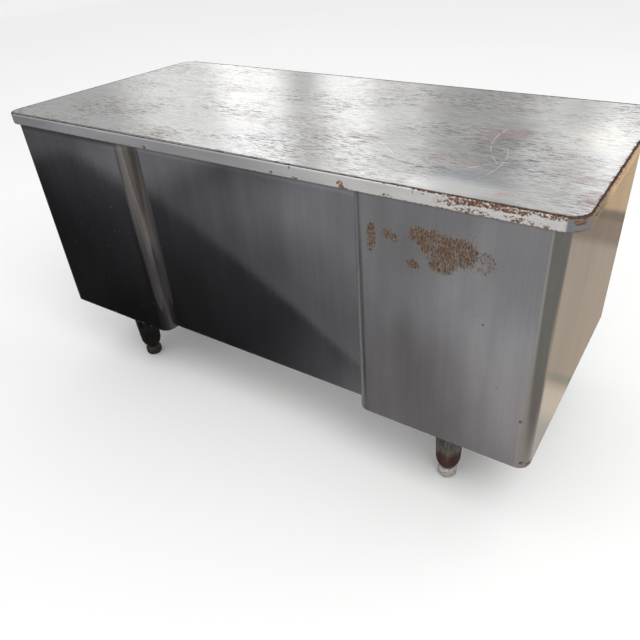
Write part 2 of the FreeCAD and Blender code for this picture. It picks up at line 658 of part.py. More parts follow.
lock_hole_tray = cyl("lock_hole_tray", 0, my1 - th - 1, lock_z, S["lock_rad"] + 0.2, th + 2, "Y")
node("center_drawer_front", hollow_front("mid_face", -mx, mx, mz0, mz0 + S["mid_front"], None, None, [], [lock_hole_front]))
node("center_drawer_tray", tray("mid_box", -tx, tx, my0, my1, mz0 + 4, S["mid_tray"], [], mrails, [lock_hole_tray]))

# finger strip under the centre drawer front
b = body("finger_body")
z = mz0
pad(b, "finger_pad", "YZ", [(YF - 17, z - 1.5), (YF - 3, z - 1.5), (YF - 3, z - 9), (YF - 1.5, z - 9), (YF - 1.5, z), (YF - 17, z)], -90, 180)
node("center_finger_pull", b)

# lock: housing through the front, with a plug that turns
b = body("housing_body")
y_in, y_out = my1 - th - 4, YF + 1.5
r0 = S["lock_rad"]
rb = S["plug_rad"] + S["plug_gap"]
pts = [(rb, y_in), (r0, y_in), (r0, YF), (r0 + 3, YF), (r0 + 3, y_out - 0.5), (r0 + 2.5, y_out), (rb, y_out)]
sk = sketch(b, "housing_sketch", "XY", pts, 0)
rev = b.newObject("PartDesign::Revolution", "housing_turn")
rev.Profile = sk
rev.ReferenceAxis = (sk, ["V_Axis"])
rev.Angle = 360
doc.recompute()
place(b, 0, 0, lock_z)
node("lock_housing", b)
b = body("plug_body")
pts = [(0, y_in - 2), (S["plug_rad"], y_in - 2), (S["plug_rad"], YF + 1), (0, YF + 1)]
sk = sketch(b, "plug_sketch", "XY", pts, 0)
rev = b.newObject("PartDesign::Revolution", "plug_turn")
rev.Profile = sk
rev.ReferenceAxis = (sk, ["V_Axis"])
rev.Angle = 360
doc.recompute()
place(b, 0, 0, lock_z)
slot = box("key_slot", -0.9, 0.9, YF - 9, YF + 3, lock_z - 4, lock_z + 4)
node("lock_plug", cut("plug", b, slot))

# pencil tray: a moulded insert with a long groove and two pockets
b = body("pencil_body")
pz = mz0 + 4 + th
pad(b, "pencil_pad", "XY", rect(-165, 165, my1 - 104, my1 - 12), pz, 20)
pocket(b, "pencil_groove", "XY", rect(-160, 60, my1 - 99, my1 - 61), pz + 20, 17, False)
pocket(b, "pencil_groove_two", "XY", rect(-160, 60, my1 - 57, my1 - 17), pz + 20, 17, False)
pocket(b, "pencil_cup", "XY", rect(64, 160, my1 - 99, my1 - 61), pz + 20, 17, False)
pocket(b, "pencil_cup_two", "XY", rect(64, 160, my1 - 57, my1 - 17), pz + 20, 17, False)
node("pencil_tray", b)

# ---------------------------------------------------------------- modesty panel
y0 = YB + S["recess"]
y1 = y0 + S["modesty_deep"]
z0 = ZB + S["modesty_up"]
holes_low, holes_high = [], []
for i, z in enumerate(screw_z):
    holes_low.append(cyl(f"modesty_hole_a_{i}", -xi - 1, screw_y, z, S["screw_hole"] + 0.5, st + 2, "X"))
    holes_high.append(cyl(f"modesty_hole_b_{i}", xi - st - 1, screw_y, z, S["screw_hole"] + 0.5, st + 2, "X"))
flange_low = box("modesty_flange_low", -xi, -xi + st, y0 + st, y1, z0 + st, ZT - st)
flange_high = box("modesty_flange_high", xi - st, xi, y0 + st, y1, z0 + st, ZT - st)
node("modesty_panel", group("modesty", [
    box("modesty_sheet", -xi, xi, y0, y0 + st, z0, ZT),
    box("modesty_flange_bottom", -xi, xi, y0 + st, y1, z0, z0 + st),
    box("modesty_flange_top", -xi, xi, y0 + st, y1, ZT - st, ZT),
    cut("modesty_flange_low_drilled", flange_low, holes_low),
    cut("modesty_flange_high_drilled", flange_high, holes_high),
]))
node("modesty_stiffener", _plain_channel("stiffener", -xi + st, xi - st, y0 + st, q(17), ZB + 290, q(60), st, -1))
screws = []
for i, z in enumerate(screw_z):
    for k, s in enumerate((-1, 1)):
        # head on the kneehole side of the flange, shank through flange and case wall
        x_head = xi - st
        if s < 0:
            head = cyl(f"modesty_head_{i}_{k}", -x_head, screw_y, z, 5, 3, "X")
            shank = cyl(f"modesty_shank_{i}_{k}", -x_head - 9, screw_y, z, S["screw_hole"], 10, "X")
        else:
            head = cyl(f"modesty_head_{i}_{k}", x_head - 3, screw_y, z, 5, 3, "X")
            shank = cyl(f"modesty_shank_{i}_{k}", x_head - 1, screw_y, z, S["screw_hole"], 10, "X")
        screws.append(fuse(f"modesty_screw_{i}_{k}", [head, shank]))
node("modesty_screws", group("modesty_screw_set", screws))

# ---------------------------------------------------------------- legs and glides
ztop = ZB + S["chan_up"]
nuts = []
for side, ox in (("left", LEFT), ("right", RIGHT)):
    for end, y in (("rear", leg_rear), ("front", leg_front)):
        x = ox + PW / 2
        name = f"{side}_{end}"
        lo, kn = S["leg_low"], S["leg_low"] + S["leg_knee_up"]
        b = body(name + "_leg_body")
        wall = S["leg_wall"]
        pts = [
            (S["glide_bore"], lo), (S["leg_end_rad"], lo), (S["leg_knee_rad"], kn), (S["leg_top_rad"], ztop),
            (S["stud_rad"], ztop), (S["stud_rad"], ztop + 17), (0, ztop + 17), (0, ztop - 3),
            (S["leg_top_rad"] - wall, ztop - 3), (S["leg_knee_rad"] - wall, kn + 6), (S["glide_bore"], kn - 2),
        ]
        sk = sketch(b, name + "_leg_sketch", "XZ", pts, 0)
        rev = b.newObject("PartDesign::Revolution", name + "_leg_turn")
        rev.Profile = sk
        rev.ReferenceAxis = (sk, ["V_Axis"])
        rev.Angle = 360
        doc.recompute()
        knee = edges_where(rev, lambda e: abs(e.BoundBox.ZMax - kn.v) < 0.01 and abs(e.BoundBox.ZMin - kn.v) < 0.01 and abs(e.BoundBox.XLength - 2 * S["leg_knee_rad"].v) < 0.05)
        f = fillet(b, name + "_leg_knee", rev, knee, S["leg_soft"])
        low = edges_where(f, lambda e: abs(e.BoundBox.ZMax - lo.v) < 0.01 and abs(e.BoundBox.XLength - 2 * S["leg_end_rad"].v) < 0.05)
        fillet(b, name + "_leg_low", f, low, 4)
        place(b, x, y, 0)
        node(name + "_leg", b)

        b = body(name + "_glide_body")
        g, gh = S["glide_rad"], S["glide_high"]
        pts = [(0, 0), (S["glide_flat"], 0), (g, 6.5), (g, gh - 8.5), (g - 5, gh - 1), (S["glide_stud"] + 3, gh), (S["glide_stud"], gh), (S["glide_stud"], gh + 40), (0, gh + 40)]
        sk = sketch(b, name + "_glide_sketch", "XZ", pts, 0)
        rev = b.newObject("PartDesign::Revolution", name + "_glide_turn")
        rev.Profile = sk
        rev.ReferenceAxis = (sk, ["V_Axis"])
        rev.Angle = 360
        doc.recompute()
        rings = edges_where(rev, lambda e: 5 < e.BoundBox.ZMin < 23 and abs(e.BoundBox.ZLength) < 0.01)
        fillet(b, name + "_glide_soft", rev, rings, 4)
        place(b, x, y, 0)
        node(name + "_glide", b)

        b = body(name + "_nut_body")
        hexagon = [(13.5 * math.cos(math.radians(60 * k)), 13.5 * math.sin(math.radians(60 * k))) for k in range(6)]
        pad(b, name + "_nut_pad", "XY", hexagon, 0, 10)
        place(b, x, y, ztop + S["chan_thick"])
        bore = cyl(name + "_nut_bore", x, y, ztop, S["stud_rad"] + 0.3, 20)
        nuts.append(cut(name + "_nut", b, bore))
node("leg_stud_nuts", group("stud_nuts", nuts))

# ---------------------------------------------------------------- check and write
doc.recompute()
bad = [o.Name for o in doc.Objects if "Invalid" in o.State or "Error" in o.State]
if bad:
    raise SystemExit(f"failed objects: {bad}")
for label, o in NODES.items():
    s = o.Shape
    if s.isNull() or not s.isValid() or not s.Solids or any(x.Volume <= 0 for x in s.Solids):
        raise SystemExit(f"bad shape: {label}")
os.makedirs("parts", exist_ok=True)
whole = None
for label, o in NODES.items():
    o.Shape.exportStep(f"parts/{label}.step")
    whole = FreeCAD.BoundBox(o.Shape.BoundBox) if whole is None else whole
    whole.add(o.Shape.BoundBox)
print(len(NODES), "nodes", sum(len(o.Shape.Solids) for o in NODES.values()), "solids")
print("box", [round(v, 2) for v in (whole.XMin, whole.XMax, whole.YMin, whole.YMax, whole.ZMin, whole.ZMax)])
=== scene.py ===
import json
import math
import bmesh
import bpy
from mathutils import Matrix, Vector, noise as mnoise


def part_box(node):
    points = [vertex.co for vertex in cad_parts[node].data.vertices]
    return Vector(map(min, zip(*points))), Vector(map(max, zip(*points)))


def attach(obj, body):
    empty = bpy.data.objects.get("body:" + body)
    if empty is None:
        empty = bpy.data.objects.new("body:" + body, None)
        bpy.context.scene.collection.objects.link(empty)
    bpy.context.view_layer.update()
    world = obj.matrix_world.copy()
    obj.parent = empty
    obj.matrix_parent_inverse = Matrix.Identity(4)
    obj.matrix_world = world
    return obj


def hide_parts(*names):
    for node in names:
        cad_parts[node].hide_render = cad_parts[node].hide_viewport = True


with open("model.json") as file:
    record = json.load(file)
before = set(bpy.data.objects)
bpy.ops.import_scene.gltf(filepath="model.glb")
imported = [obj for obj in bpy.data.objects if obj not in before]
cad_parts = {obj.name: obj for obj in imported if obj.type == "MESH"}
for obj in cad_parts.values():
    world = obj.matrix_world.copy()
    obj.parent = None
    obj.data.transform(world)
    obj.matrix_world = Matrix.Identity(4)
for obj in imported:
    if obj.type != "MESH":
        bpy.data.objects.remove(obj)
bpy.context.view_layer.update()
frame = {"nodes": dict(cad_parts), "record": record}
N = frame["nodes"]
scene = bpy.context.scene
scene.view_settings.view_transform = "Standard"
scene.view_settings.look = "None"

# ------------------------------------------------------------------ camera
cam_data = bpy.data.cameras.new("camera")
cam = bpy.data.objects.new("camera", cam_data)
scene.collection.objects.link(cam)
right = Vector((0.8485631652, 0.5274160212, -0.0421057612))
down = Vector((0.2693244281, -0.4990727790, -0.8236447740))
ahead = Vector((-0.4554172889, 0.6875745064, -0.5655407953))
m = Matrix.Identity(4)
for i in range(3):
    m[i][0], m[i][1], m[i][2] = right[i], -down[i], -ahead[i]
m.translation = Vector((0.8890287, -1.2251938, 1.1610214))
cam.matrix_world = m
cam_data.sensor_width = 36.0
cam_data.lens = 600.496 / 640 * 36.0
cam_data.shift_x = 0.5 - 348.126 / 640
cam_data.shift_y = 322.670 / 640 - 0.5
cam_data.clip_start = 0.01
cam_data.clip_end = 100.0
scene.camera = cam


# ------------------------------------------------------------------ material graphs
class Graph:
    """A material's node tree, with short names for the nodes used here. Coordinates are the object's own, in metres."""

    def __init__(self, name, kind="BSDF"):
        self.m = bpy.data.materials.new(name)
        self.m.use_nodes = True
        self.t = self.m.node_tree
        self.p = self.t.nodes["Principled BSDF"]
        self.xyz = self.t.nodes.new("ShaderNodeTexCoord").outputs["Object"]
        self._split = None

    def put(self, sock, v):
        if isinstance(v, bpy.types.NodeSocket):
            self.t.links.new(v, sock)
        elif sock.type == "RGBA":
            sock.default_value = (*v, 1) if not isinstance(v, (int, float)) else (v, v, v, 1)
        else:
            sock.default_value = v

    def new(self, kind, **props):
        n = self.t.nodes.new(kind)
        for k, v in props.items():
            setattr(n, k, v)
        return n

    def math(self, op, *args, clamp=False):
        n = self.new("ShaderNodeMath", operation=op, use_clamp=clamp)
        for i, a in enumerate(args):
            self.put(n.inputs[i], a)
        return n.outputs[0]

    def add(self, *a):
        out = a[0]
        for b in a[1:]:
            out = self.math("ADD", out, b)
        return out

    def mul(self, *a):
        out = a[0]
        for b in a[1:]:
            out = self.math("MULTIPLY", out, b)
        return out

    def sub(self, a, b):
        return self.math("SUBTRACT", a, b)

    def mx(self, *a):
        out = a[0]
        for b in a[1:]:
            out = self.math("MAXIMUM", out, b)
        return out

    def inv(self, a):
        return self.math("SUBTRACT", 1.0, a)

    def split(self):
        if self._split is None:
            n = self.new("ShaderNodeSeparateXYZ")
            self.put(n.inputs[0], self.xyz)
            self._split = n.outputs
        return self._split

    def map(self, scale=(1, 1, 1), loc=(0, 0, 0), rot=(0, 0, 0), of=None, kind="POINT"):
        n = self.new("ShaderNodeMapping", vector_type=kind)
        self.put(n.inputs["Vector"], self.xyz if of is None else of)
        n.inputs["Location"].default_value = loc
        n.inputs["Rotation"].default_value = rot
        n.inputs["Scale"].default_value = scale
        return n.outputs[0]

    def noise(self, scale, detail=3.0, rough=0.5, loc=(0, 0, 0), dist=0.0, of=None, color=False):
        if isinstance(scale, (int, float)):
            scale = (scale, scale, scale)
        n = self.new("ShaderNodeTexNoise")
        self.put(n.inputs["Vector"], self.map(scale, loc, of=of))
        n.inputs["Scale"].default_value = 1.0
        n.inputs["Detail"].default_value = detail
        n.inputs["Roughness"].default_value = rough
        n.inputs["Distortion"].default_value = dist
        return n.outputs["Color"] if color else n.outputs["Fac"]

    def cells(self, scale, feature="DISTANCE_TO_EDGE", loc=(0, 0, 0), of=None, rand=1.0):
        n = self.new("ShaderNodeTexVoronoi", feature=feature)
        if isinstance(scale, (int, float)):
            scale = (scale, scale, scale)
        self.put(n.inputs["Vector"], self.map(scale, loc, of=of))
        n.inputs["Scale"].default_value = 1.0
        n.inputs["Randomness"].default_value = rand
        return n.outputs["Distance"]

    def step(self, v, lo, hi, a=0.0, b=1.0):
        n = self.new("ShaderNodeMapRange", interpolation_type="SMOOTHSTEP")
        for i, x in enumerate((v, lo, hi, a, b)):
            self.put(n.inputs[i], x)
        return n.outputs[0]

    def ramp(self, v, *stops):
        n = self.new("ShaderNodeValToRGB")
        self.put(n.inputs[0], v)
        e = n.color_ramp.elements
        while len(e) < len(stops):
            e.new(0.5)
        for k, (pos, c) in zip(e, stops):
            k.position = pos
            k.color = (*c, 1) if not isinstance(c, (int, float)) else (c, c, c, 1)
        return n.outputs[0]

    def lerp(self, f, a, b):
        n = self.new("ShaderNodeMix", data_type="FLOAT")
        self.put(n.inputs[0], f)
        self.put(n.inputs[2], a)
        self.put(n.inputs[3], b)
        return n.outputs[0]

    def mix(self, f, a, b, blend="MIX"):
        n = self.new("ShaderNodeMix", data_type="RGBA", blend_type=blend)
        self.put(n.inputs[0], f)
        self.put(n.inputs[6], a)
        self.put(n.inputs[7], b)
        return n.outputs[2]

    def grey(self, v, tint=(1, 1, 1)):
        """A colour of this value, tinted."""
        c = self.new("ShaderNodeCombineXYZ")
        for i in range(3):
            self.put(c.inputs[i], self.math("MULTIPLY", v, tint[i]))
        return c.outputs[0]

    def spot(self, centre, radii, turn=0.0, inner=0.62, outer=1.04, axis="Y"):
        """1 in the middle of an ellipsoid, 0 outside it."""
        rot = {"X": (turn, 0, 0), "Y": (0, turn, 0), "Z": (0, 0, turn)}[axis]
        v = self.map(scale=radii, loc=centre, rot=rot, kind="TEXTURE")
        n = self.new("ShaderNodeVectorMath", operation="LENGTH")
        self.put(n.inputs[0], v)
        return self.step(n.outputs["Value"], inner, outer, 1.0, 0.0)

    def arc(self, cx, cy, r, width, x0, x1, y0, y1):
        """A thin ring in the XY plane, only inside a box."""
        x, y, _ = self.split()
        dx, dy = self.math("SUBTRACT", x, cx), self.math("SUBTRACT", y, cy)
        d = self.math("SQRT", self.add(self.mul(dx, dx), self.mul(dy, dy)))
        line = self.step(self.math("ABSOLUTE", self.math("SUBTRACT", d, r)), width * 0.4, width, 1.0, 0.0)
        e = 0.004
        keep = self.mul(self.step(x, x0, x0 + e), self.step(x, x1 - e, x1, 1.0, 0.0), self.step(y, y0, y0 + e), self.step(y, y1 - e, y1, 1.0, 0.0))
        return self.mul(line, keep)

    def bump(self, height, strength, distance, normal=None):
        n = self.new("ShaderNodeBump")
        n.inputs["Strength"].default_value = strength
        n.inputs["Distance"].default_value = distance
        self.put(n.inputs["Height"], height)
        if normal is not None:
            self.put(n.inputs["Normal"], normal)
        return n.outputs[0]

    def finish(self, color=None, metallic=None, rough=None, normal=None, **fixed):
        for key, v in (("Base Color", color), ("Metallic", metallic), ("Roughness", rough), ("Normal", normal)):
            if v is not None:
                self.put(self.p.inputs[key], v)
        for key, v in fixed.items():
            self.put(self.p.inputs[key.replace("_", " ")], v)
        return self.m


RUST_DARK, RUST_MID, RUST_PALE = (0.040, 0.018, 0.010), (0.100, 0.053, 0.030), (0.185, 0.118, 0.080)
RUST_CHIP = ((0.050, 0.021, 0.010), (0.125, 0.056, 0.028), (0.24, 0.14, 0.09))


def rust_color(g, scale=330, tones=(RUST_DARK, RUST_MID, RUST_PALE)):
    n = g.noise((scale, scale, scale * 0.55), 3, 0.6, (3.1, 7.7, 1.9))
    dark, mid, pale = tones
    return g.ramp(n, (0.34, dark), (0.5, mid), (0.66, pale))


def marks(g, spots, scale=(660, 660, 165), seed=(0, 0, 0), full=0.405, none=0.78):
    """Speckled rust where the spots are dense."""
    density = None
    for centre, radii, turn, weight in spots:
        s = g.mul(g.spot(centre, radii, turn, 0.55, 1.16), weight)
        density = s if density is None else g.mx(density, s)
    ragged = g.noise(34, 3, 0.6, (seed[0] + 4.0, 1.0, seed[2]))
    density = g.mul(density, g.step(ragged, 0.28, 0.56, 0.72, 1.08))
    grain = g.noise(scale, 2, 0.55, seed)
    threshold = g.sub(none, g.mul(density, none - full))
    return g.mul(g.step(g.sub(grain, threshold), 0.0, 0.05), g.step(density, 0.04, 0.12))


def ground_steel(name, base, tint, along="Z", rough=0.2, spread=1.0, under_band_shade=None, foot=None, spots=(), wavy=0.35, seed=0.0, edge_z=(), highlight_line_strength=0.28, painted_shade_and_reflection=(), shaded_bend_x=None, warm_below=None, bend_reflection_tint=None, painted_seam_shadow=None):
    """Bare sheet steel, ground in one direction: fine lines, wide streaks, clouds, and rust where asked, and painted
    shade, highlights and reflection tints where asked.
    """
    g = Graph(name)
    long_way = {"X": (1, 0, 0), "Y": (0, 1, 0), "Z": (0, 0, 1)}[along]

    def s(across, down_):
        return tuple(down_ if k else across for k in long_way)

    fine = g.noise(s(900, 26), 2, 0.6, (seed, 0, 0))
    lines = g.noise(s(230, 4.5), 4, 0.62, (0, seed, 2))
    wide = g.noise(s(30, 1.3), 4, 0.55, (1, 5 + seed, 0))
    cloud = g.noise(s(6.5, 2.6), 4, 0.55, (7, 2, seed))
    value = g.add(
        g.mul(g.sub(fine, 0.5), 0.08 * spread),
        g.mul(g.sub(lines, 0.5), 0.15 * spread, g.step(cloud, 0.40, 0.62, 0.4, 1.3)),
        g.mul(g.sub(wide, 0.5), 0.34 * spread),
        g.mul(g.sub(cloud, 0.5), 0.75 * spread),
        1.0,
    )
    value = g.mul(value, base)
    r = g.add(rough, g.mul(g.sub(wide, 0.5), 0.06), g.mul(g.sub(cloud, 0.5), 0.07), g.mul(g.sub(lines, 0.5), 0.03))
    color = g.grey(value, tint)
    # warm and cool clouds of old surface film
    film_and_bend_shade = g.noise((4.2, 4.2, 3.1), 3, 0.5, (2 + seed, 9, 4))
    color = g.mix(g.step(film_and_bend_shade, 0.48, 0.72, 0.0, 0.35), color, g.mix(1.0, color, (0.98, 0.93, 0.86), "MULTIPLY"))
    x, y, z = g.split()
    if under_band_shade:
        # painted shade: a dark, rougher strip just under the band's overhang
        z0, z1, dark = under_band_shade
        ragged = g.add(z, g.mul(g.sub(g.noise((5, 5, 9), 2), 0.5), 0.004))
        m_ = g.step(ragged, z0, z0 + 0.009)
        color = g.mix(g.mul(m_, dark), color, (0.06, 0.062, 0.070))
        # painted highlight: a pale line along the lower edge of the painted shade strip
        highlight_line_mask = g.mul(g.step(ragged, z0 - 0.008, z0 - 0.003), g.step(ragged, z0 - 0.002, z0 + 0.003, 1.0, 0.0))
        color = g.mix(g.mul(highlight_line_mask, highlight_line_strength), color, (0.80, 0.80, 0.82))
        r = g.add(r, g.mul(m_, 0.14))
    if warm_below:
        color = g.mix(g.step(g.add(z, g.mul(g.sub(cloud, 0.5), 0.3)), warm_below - 0.22, warm_below, 1.0, 0.0), color, g.mix(1.0, color, (1.03, 0.965, 0.955), "MULTIPLY"))
    if painted_seam_shadow:
        # painted shadow: a dark line at the left end, in the gap beside the left pedestal
        line = g.mul(g.step(g.add(x, g.mul(g.sub(g.noise((40, 40, 90), 3), 0.5), 0.003)), painted_seam_shadow[0], painted_seam_shadow[1], 1.0, 0.0), 0.80)
        color = g.mix(line, color, (0.022, 0.019, 0.017))
    if bend_reflection_tint:
        # painted reflection: a warm tint over the rounded inner bend
        color = g.mix(g.step(x, bend_reflection_tint[0], bend_reflection_tint[1]), color, g.mix(1.0, color, (1.0, 0.93, 0.85), "MULTIPLY"))
    # painted shade: dark patches on the inner corner strip, in the recess beside the modesty panel
    for centre, radii, k in painted_shade_and_reflection:
        color = g.mix(g.mul(g.spot(centre, radii, 0.0, 0.1, 1.2), k), color, (0.02, 0.018, 0.017))
    film_and_bend_shade = None
    if shaded_bend_x:
        # the bend at the inner side: painted shade, a dark grey that is also less metallic
        film_and_bend_shade = g.mul(g.step(x, shaded_bend_x - 0.016, shaded_bend_x, 1.0, 0.0), 0.70)
        color = g.mix(film_and_bend_shade, color, g.grey(g.mul(value, 0.27), tint))
    # small dark specks everywhere, thinly
    speck = g.noise((150, 150, 105), 3, 0.5, (11, 3, 5 + seed))
    speck = g.step(speck, 0.735, 0.77)
    color = g.mix(g.mul(speck, 0.75), color, (0.10, 0.06, 0.045))
    rust = g.mul(speck, 0.35)
    if foot:
        z0, high = foot
        near = g.step(z, z0 + high * 0.15, z0 + high, 1.0, 0.0)
        grain = g.noise((150, 150, 260), 4, 0.6, (5, seed, 8))
        rust = g.mx(rust, g.step(g.sub(grain, g.sub(0.80, g.mul(near, 0.24))), 0.0, 0.05))
    for lo_hi in edge_z:
        z0, z1 = lo_hi
        near = g.mul(g.step(z, z0, z0 + 0.002), g.step(z, z1, z1 + 0.002, 1.0, 0.0))
        grain = g.noise((75, 75, 260), 4, 0.6, (1, seed, 3))
        rust = g.mx(rust, g.mul(near, g.step(grain, 0.60, 0.66)))
    if spots:
        worn_through = marks(g, spots, seed=(seed, 0, 1))
        under_rust = marks(g, spots, (430, 430, 95), (seed, 3, 1), 0.31, 0.80)
        color = g.mix(g.mul(under_rust, 0.52), color, (0.150, 0.096, 0.066))
        rust = g.mx(rust, worn_through, g.mul(under_rust, 0.35))
    color = g.mix(g.step(rust, 0.30, 0.75), color, rust_color(g))
    r = g.lerp(rust, r, 0.82)
    metal = g.math("SUBTRACT", 1.0, g.mul(rust, 0.9) if film_and_bend_shade is None else g.mx(g.mul(rust, 0.9), film_and_bend_shade), clamp=True)
    swell = g.noise((3.4, 3.4, 2.6), 2, 0.5, (seed, 4, 4))
    n1 = g.bump(swell, wavy, 0.004)
    n2 = g.bump(g.add(g.mul(fine, 0.35), g.mul(lines, 0.65)), 0.10, 0.0005, n1)
    n3 = g.bump(rust, 0.5, 0.0004, n2)
    return g.finish(color, metal, r, n3)


# ------------------------------------------------------------------ case and drawer steel
STEEL_TINT = (1.0, 0.992, 1.0)
COOL_TINT = (0.995, 0.982, 1.045)
flat = 0.03
rust_spots = [
    ((0.362, -0.334, 0.648), (0.0135, flat, 0.042), 0.04, 1.0),
    ((0.398, -0.336, 0.664), (0.016, flat, 0.014), 0.3, 0.90),
    ((0.413, -0.336, 0.658), (0.012, flat, 0.013), 0.0, 0.84),
    ((0.463, -0.336, 0.673), (0.032, flat, 0.021), 0.15, 0.95),
    ((0.487, -0.336, 0.662), (0.038, flat, 0.036), 0.10, 1.0),
    ((0.512, -0.336, 0.652), (0.048, flat, 0.042), 0.10, 1.0),
    ((0.510, -0.336, 0.622), (0.034, flat, 0.021), 0.0, 0.97),
    ((0.546, -0.336, 0.658), (0.042, flat, 0.034), 0.25, 0.97),
    ((0.590, -0.336, 0.646), (0.024, flat, 0.030), 0.35, 0.66),
    ((0.451, -0.336, 0.612), (0.019, flat, 0.012), 0.05, 0.97),
    ((0.562, -0.336, 0.680), (0.024, flat, 0.022), 0.0, 0.42),
    ((0.502, -0.336, 0.655), (0.130, flat, 0.062), 0.12, 0.33),
    ((0.706, -0.333, 0.2090), (0.006, flat, 0.005), 0.0, 1.1),
    ((0.693, -0.336, 0.3220), (0.0042, flat, 0.0055), 0.2, 1.1),
    ((0.718, -0.330, 0.2035), (0.006, flat, 0.005), 0.0, 1.1),
    ((0.597, -0.336, 0.522), (0.003, flat, 0.003), 0.0, 0.9),
]
left_case = ground_steel("left_case_ground_steel", 0.45, COOL_TINT, seed=0.0, bend_reflection_tint=(-0.349, -0.341), rough=0.085, wavy=0.22, highlight_line_strength=0.12, painted_shade_and_reflection=(((-0.328, -0.322, 0.42), (0.026, 0.05, 0.23), 0.66), ((-0.322, -0.310, 0.60), (0.010, 0.02, 0.20), 0.4)), under_band_shade=(0.722, 0.736, 0.45), foot=(0.194, 0.008))
right_case = ground_steel("right_case_ground_steel", 0.47, STEEL_TINT, seed=5.3, rough=0.105, highlight_line_strength=0.0, warm_below=0.52, shaded_bend_x=0.339, under_band_shade=(0.728, 0.736, 0.30), foot=(0.194, 0.010), spots=rust_spots)
modesty = ground_steel("modesty_ground_steel", 0.46, COOL_TINT, seed=11.7, rough=0.08, wavy=0.22, painted_seam_shadow=(-0.3175, -0.3150), under_band_shade=(0.716, 0.736, 0.50), foot=(0.204, 0.010))
fronts = ground_steel("front_ground_steel", 0.46, STEEL_TINT, along="X", seed=17.2, foot=None, spread=0.8)
base_pan = ground_steel("pan_steel", 0.40, STEEL_TINT, along="Y", seed=3.2, rough=0.3, foot=(0.194, 0.02))


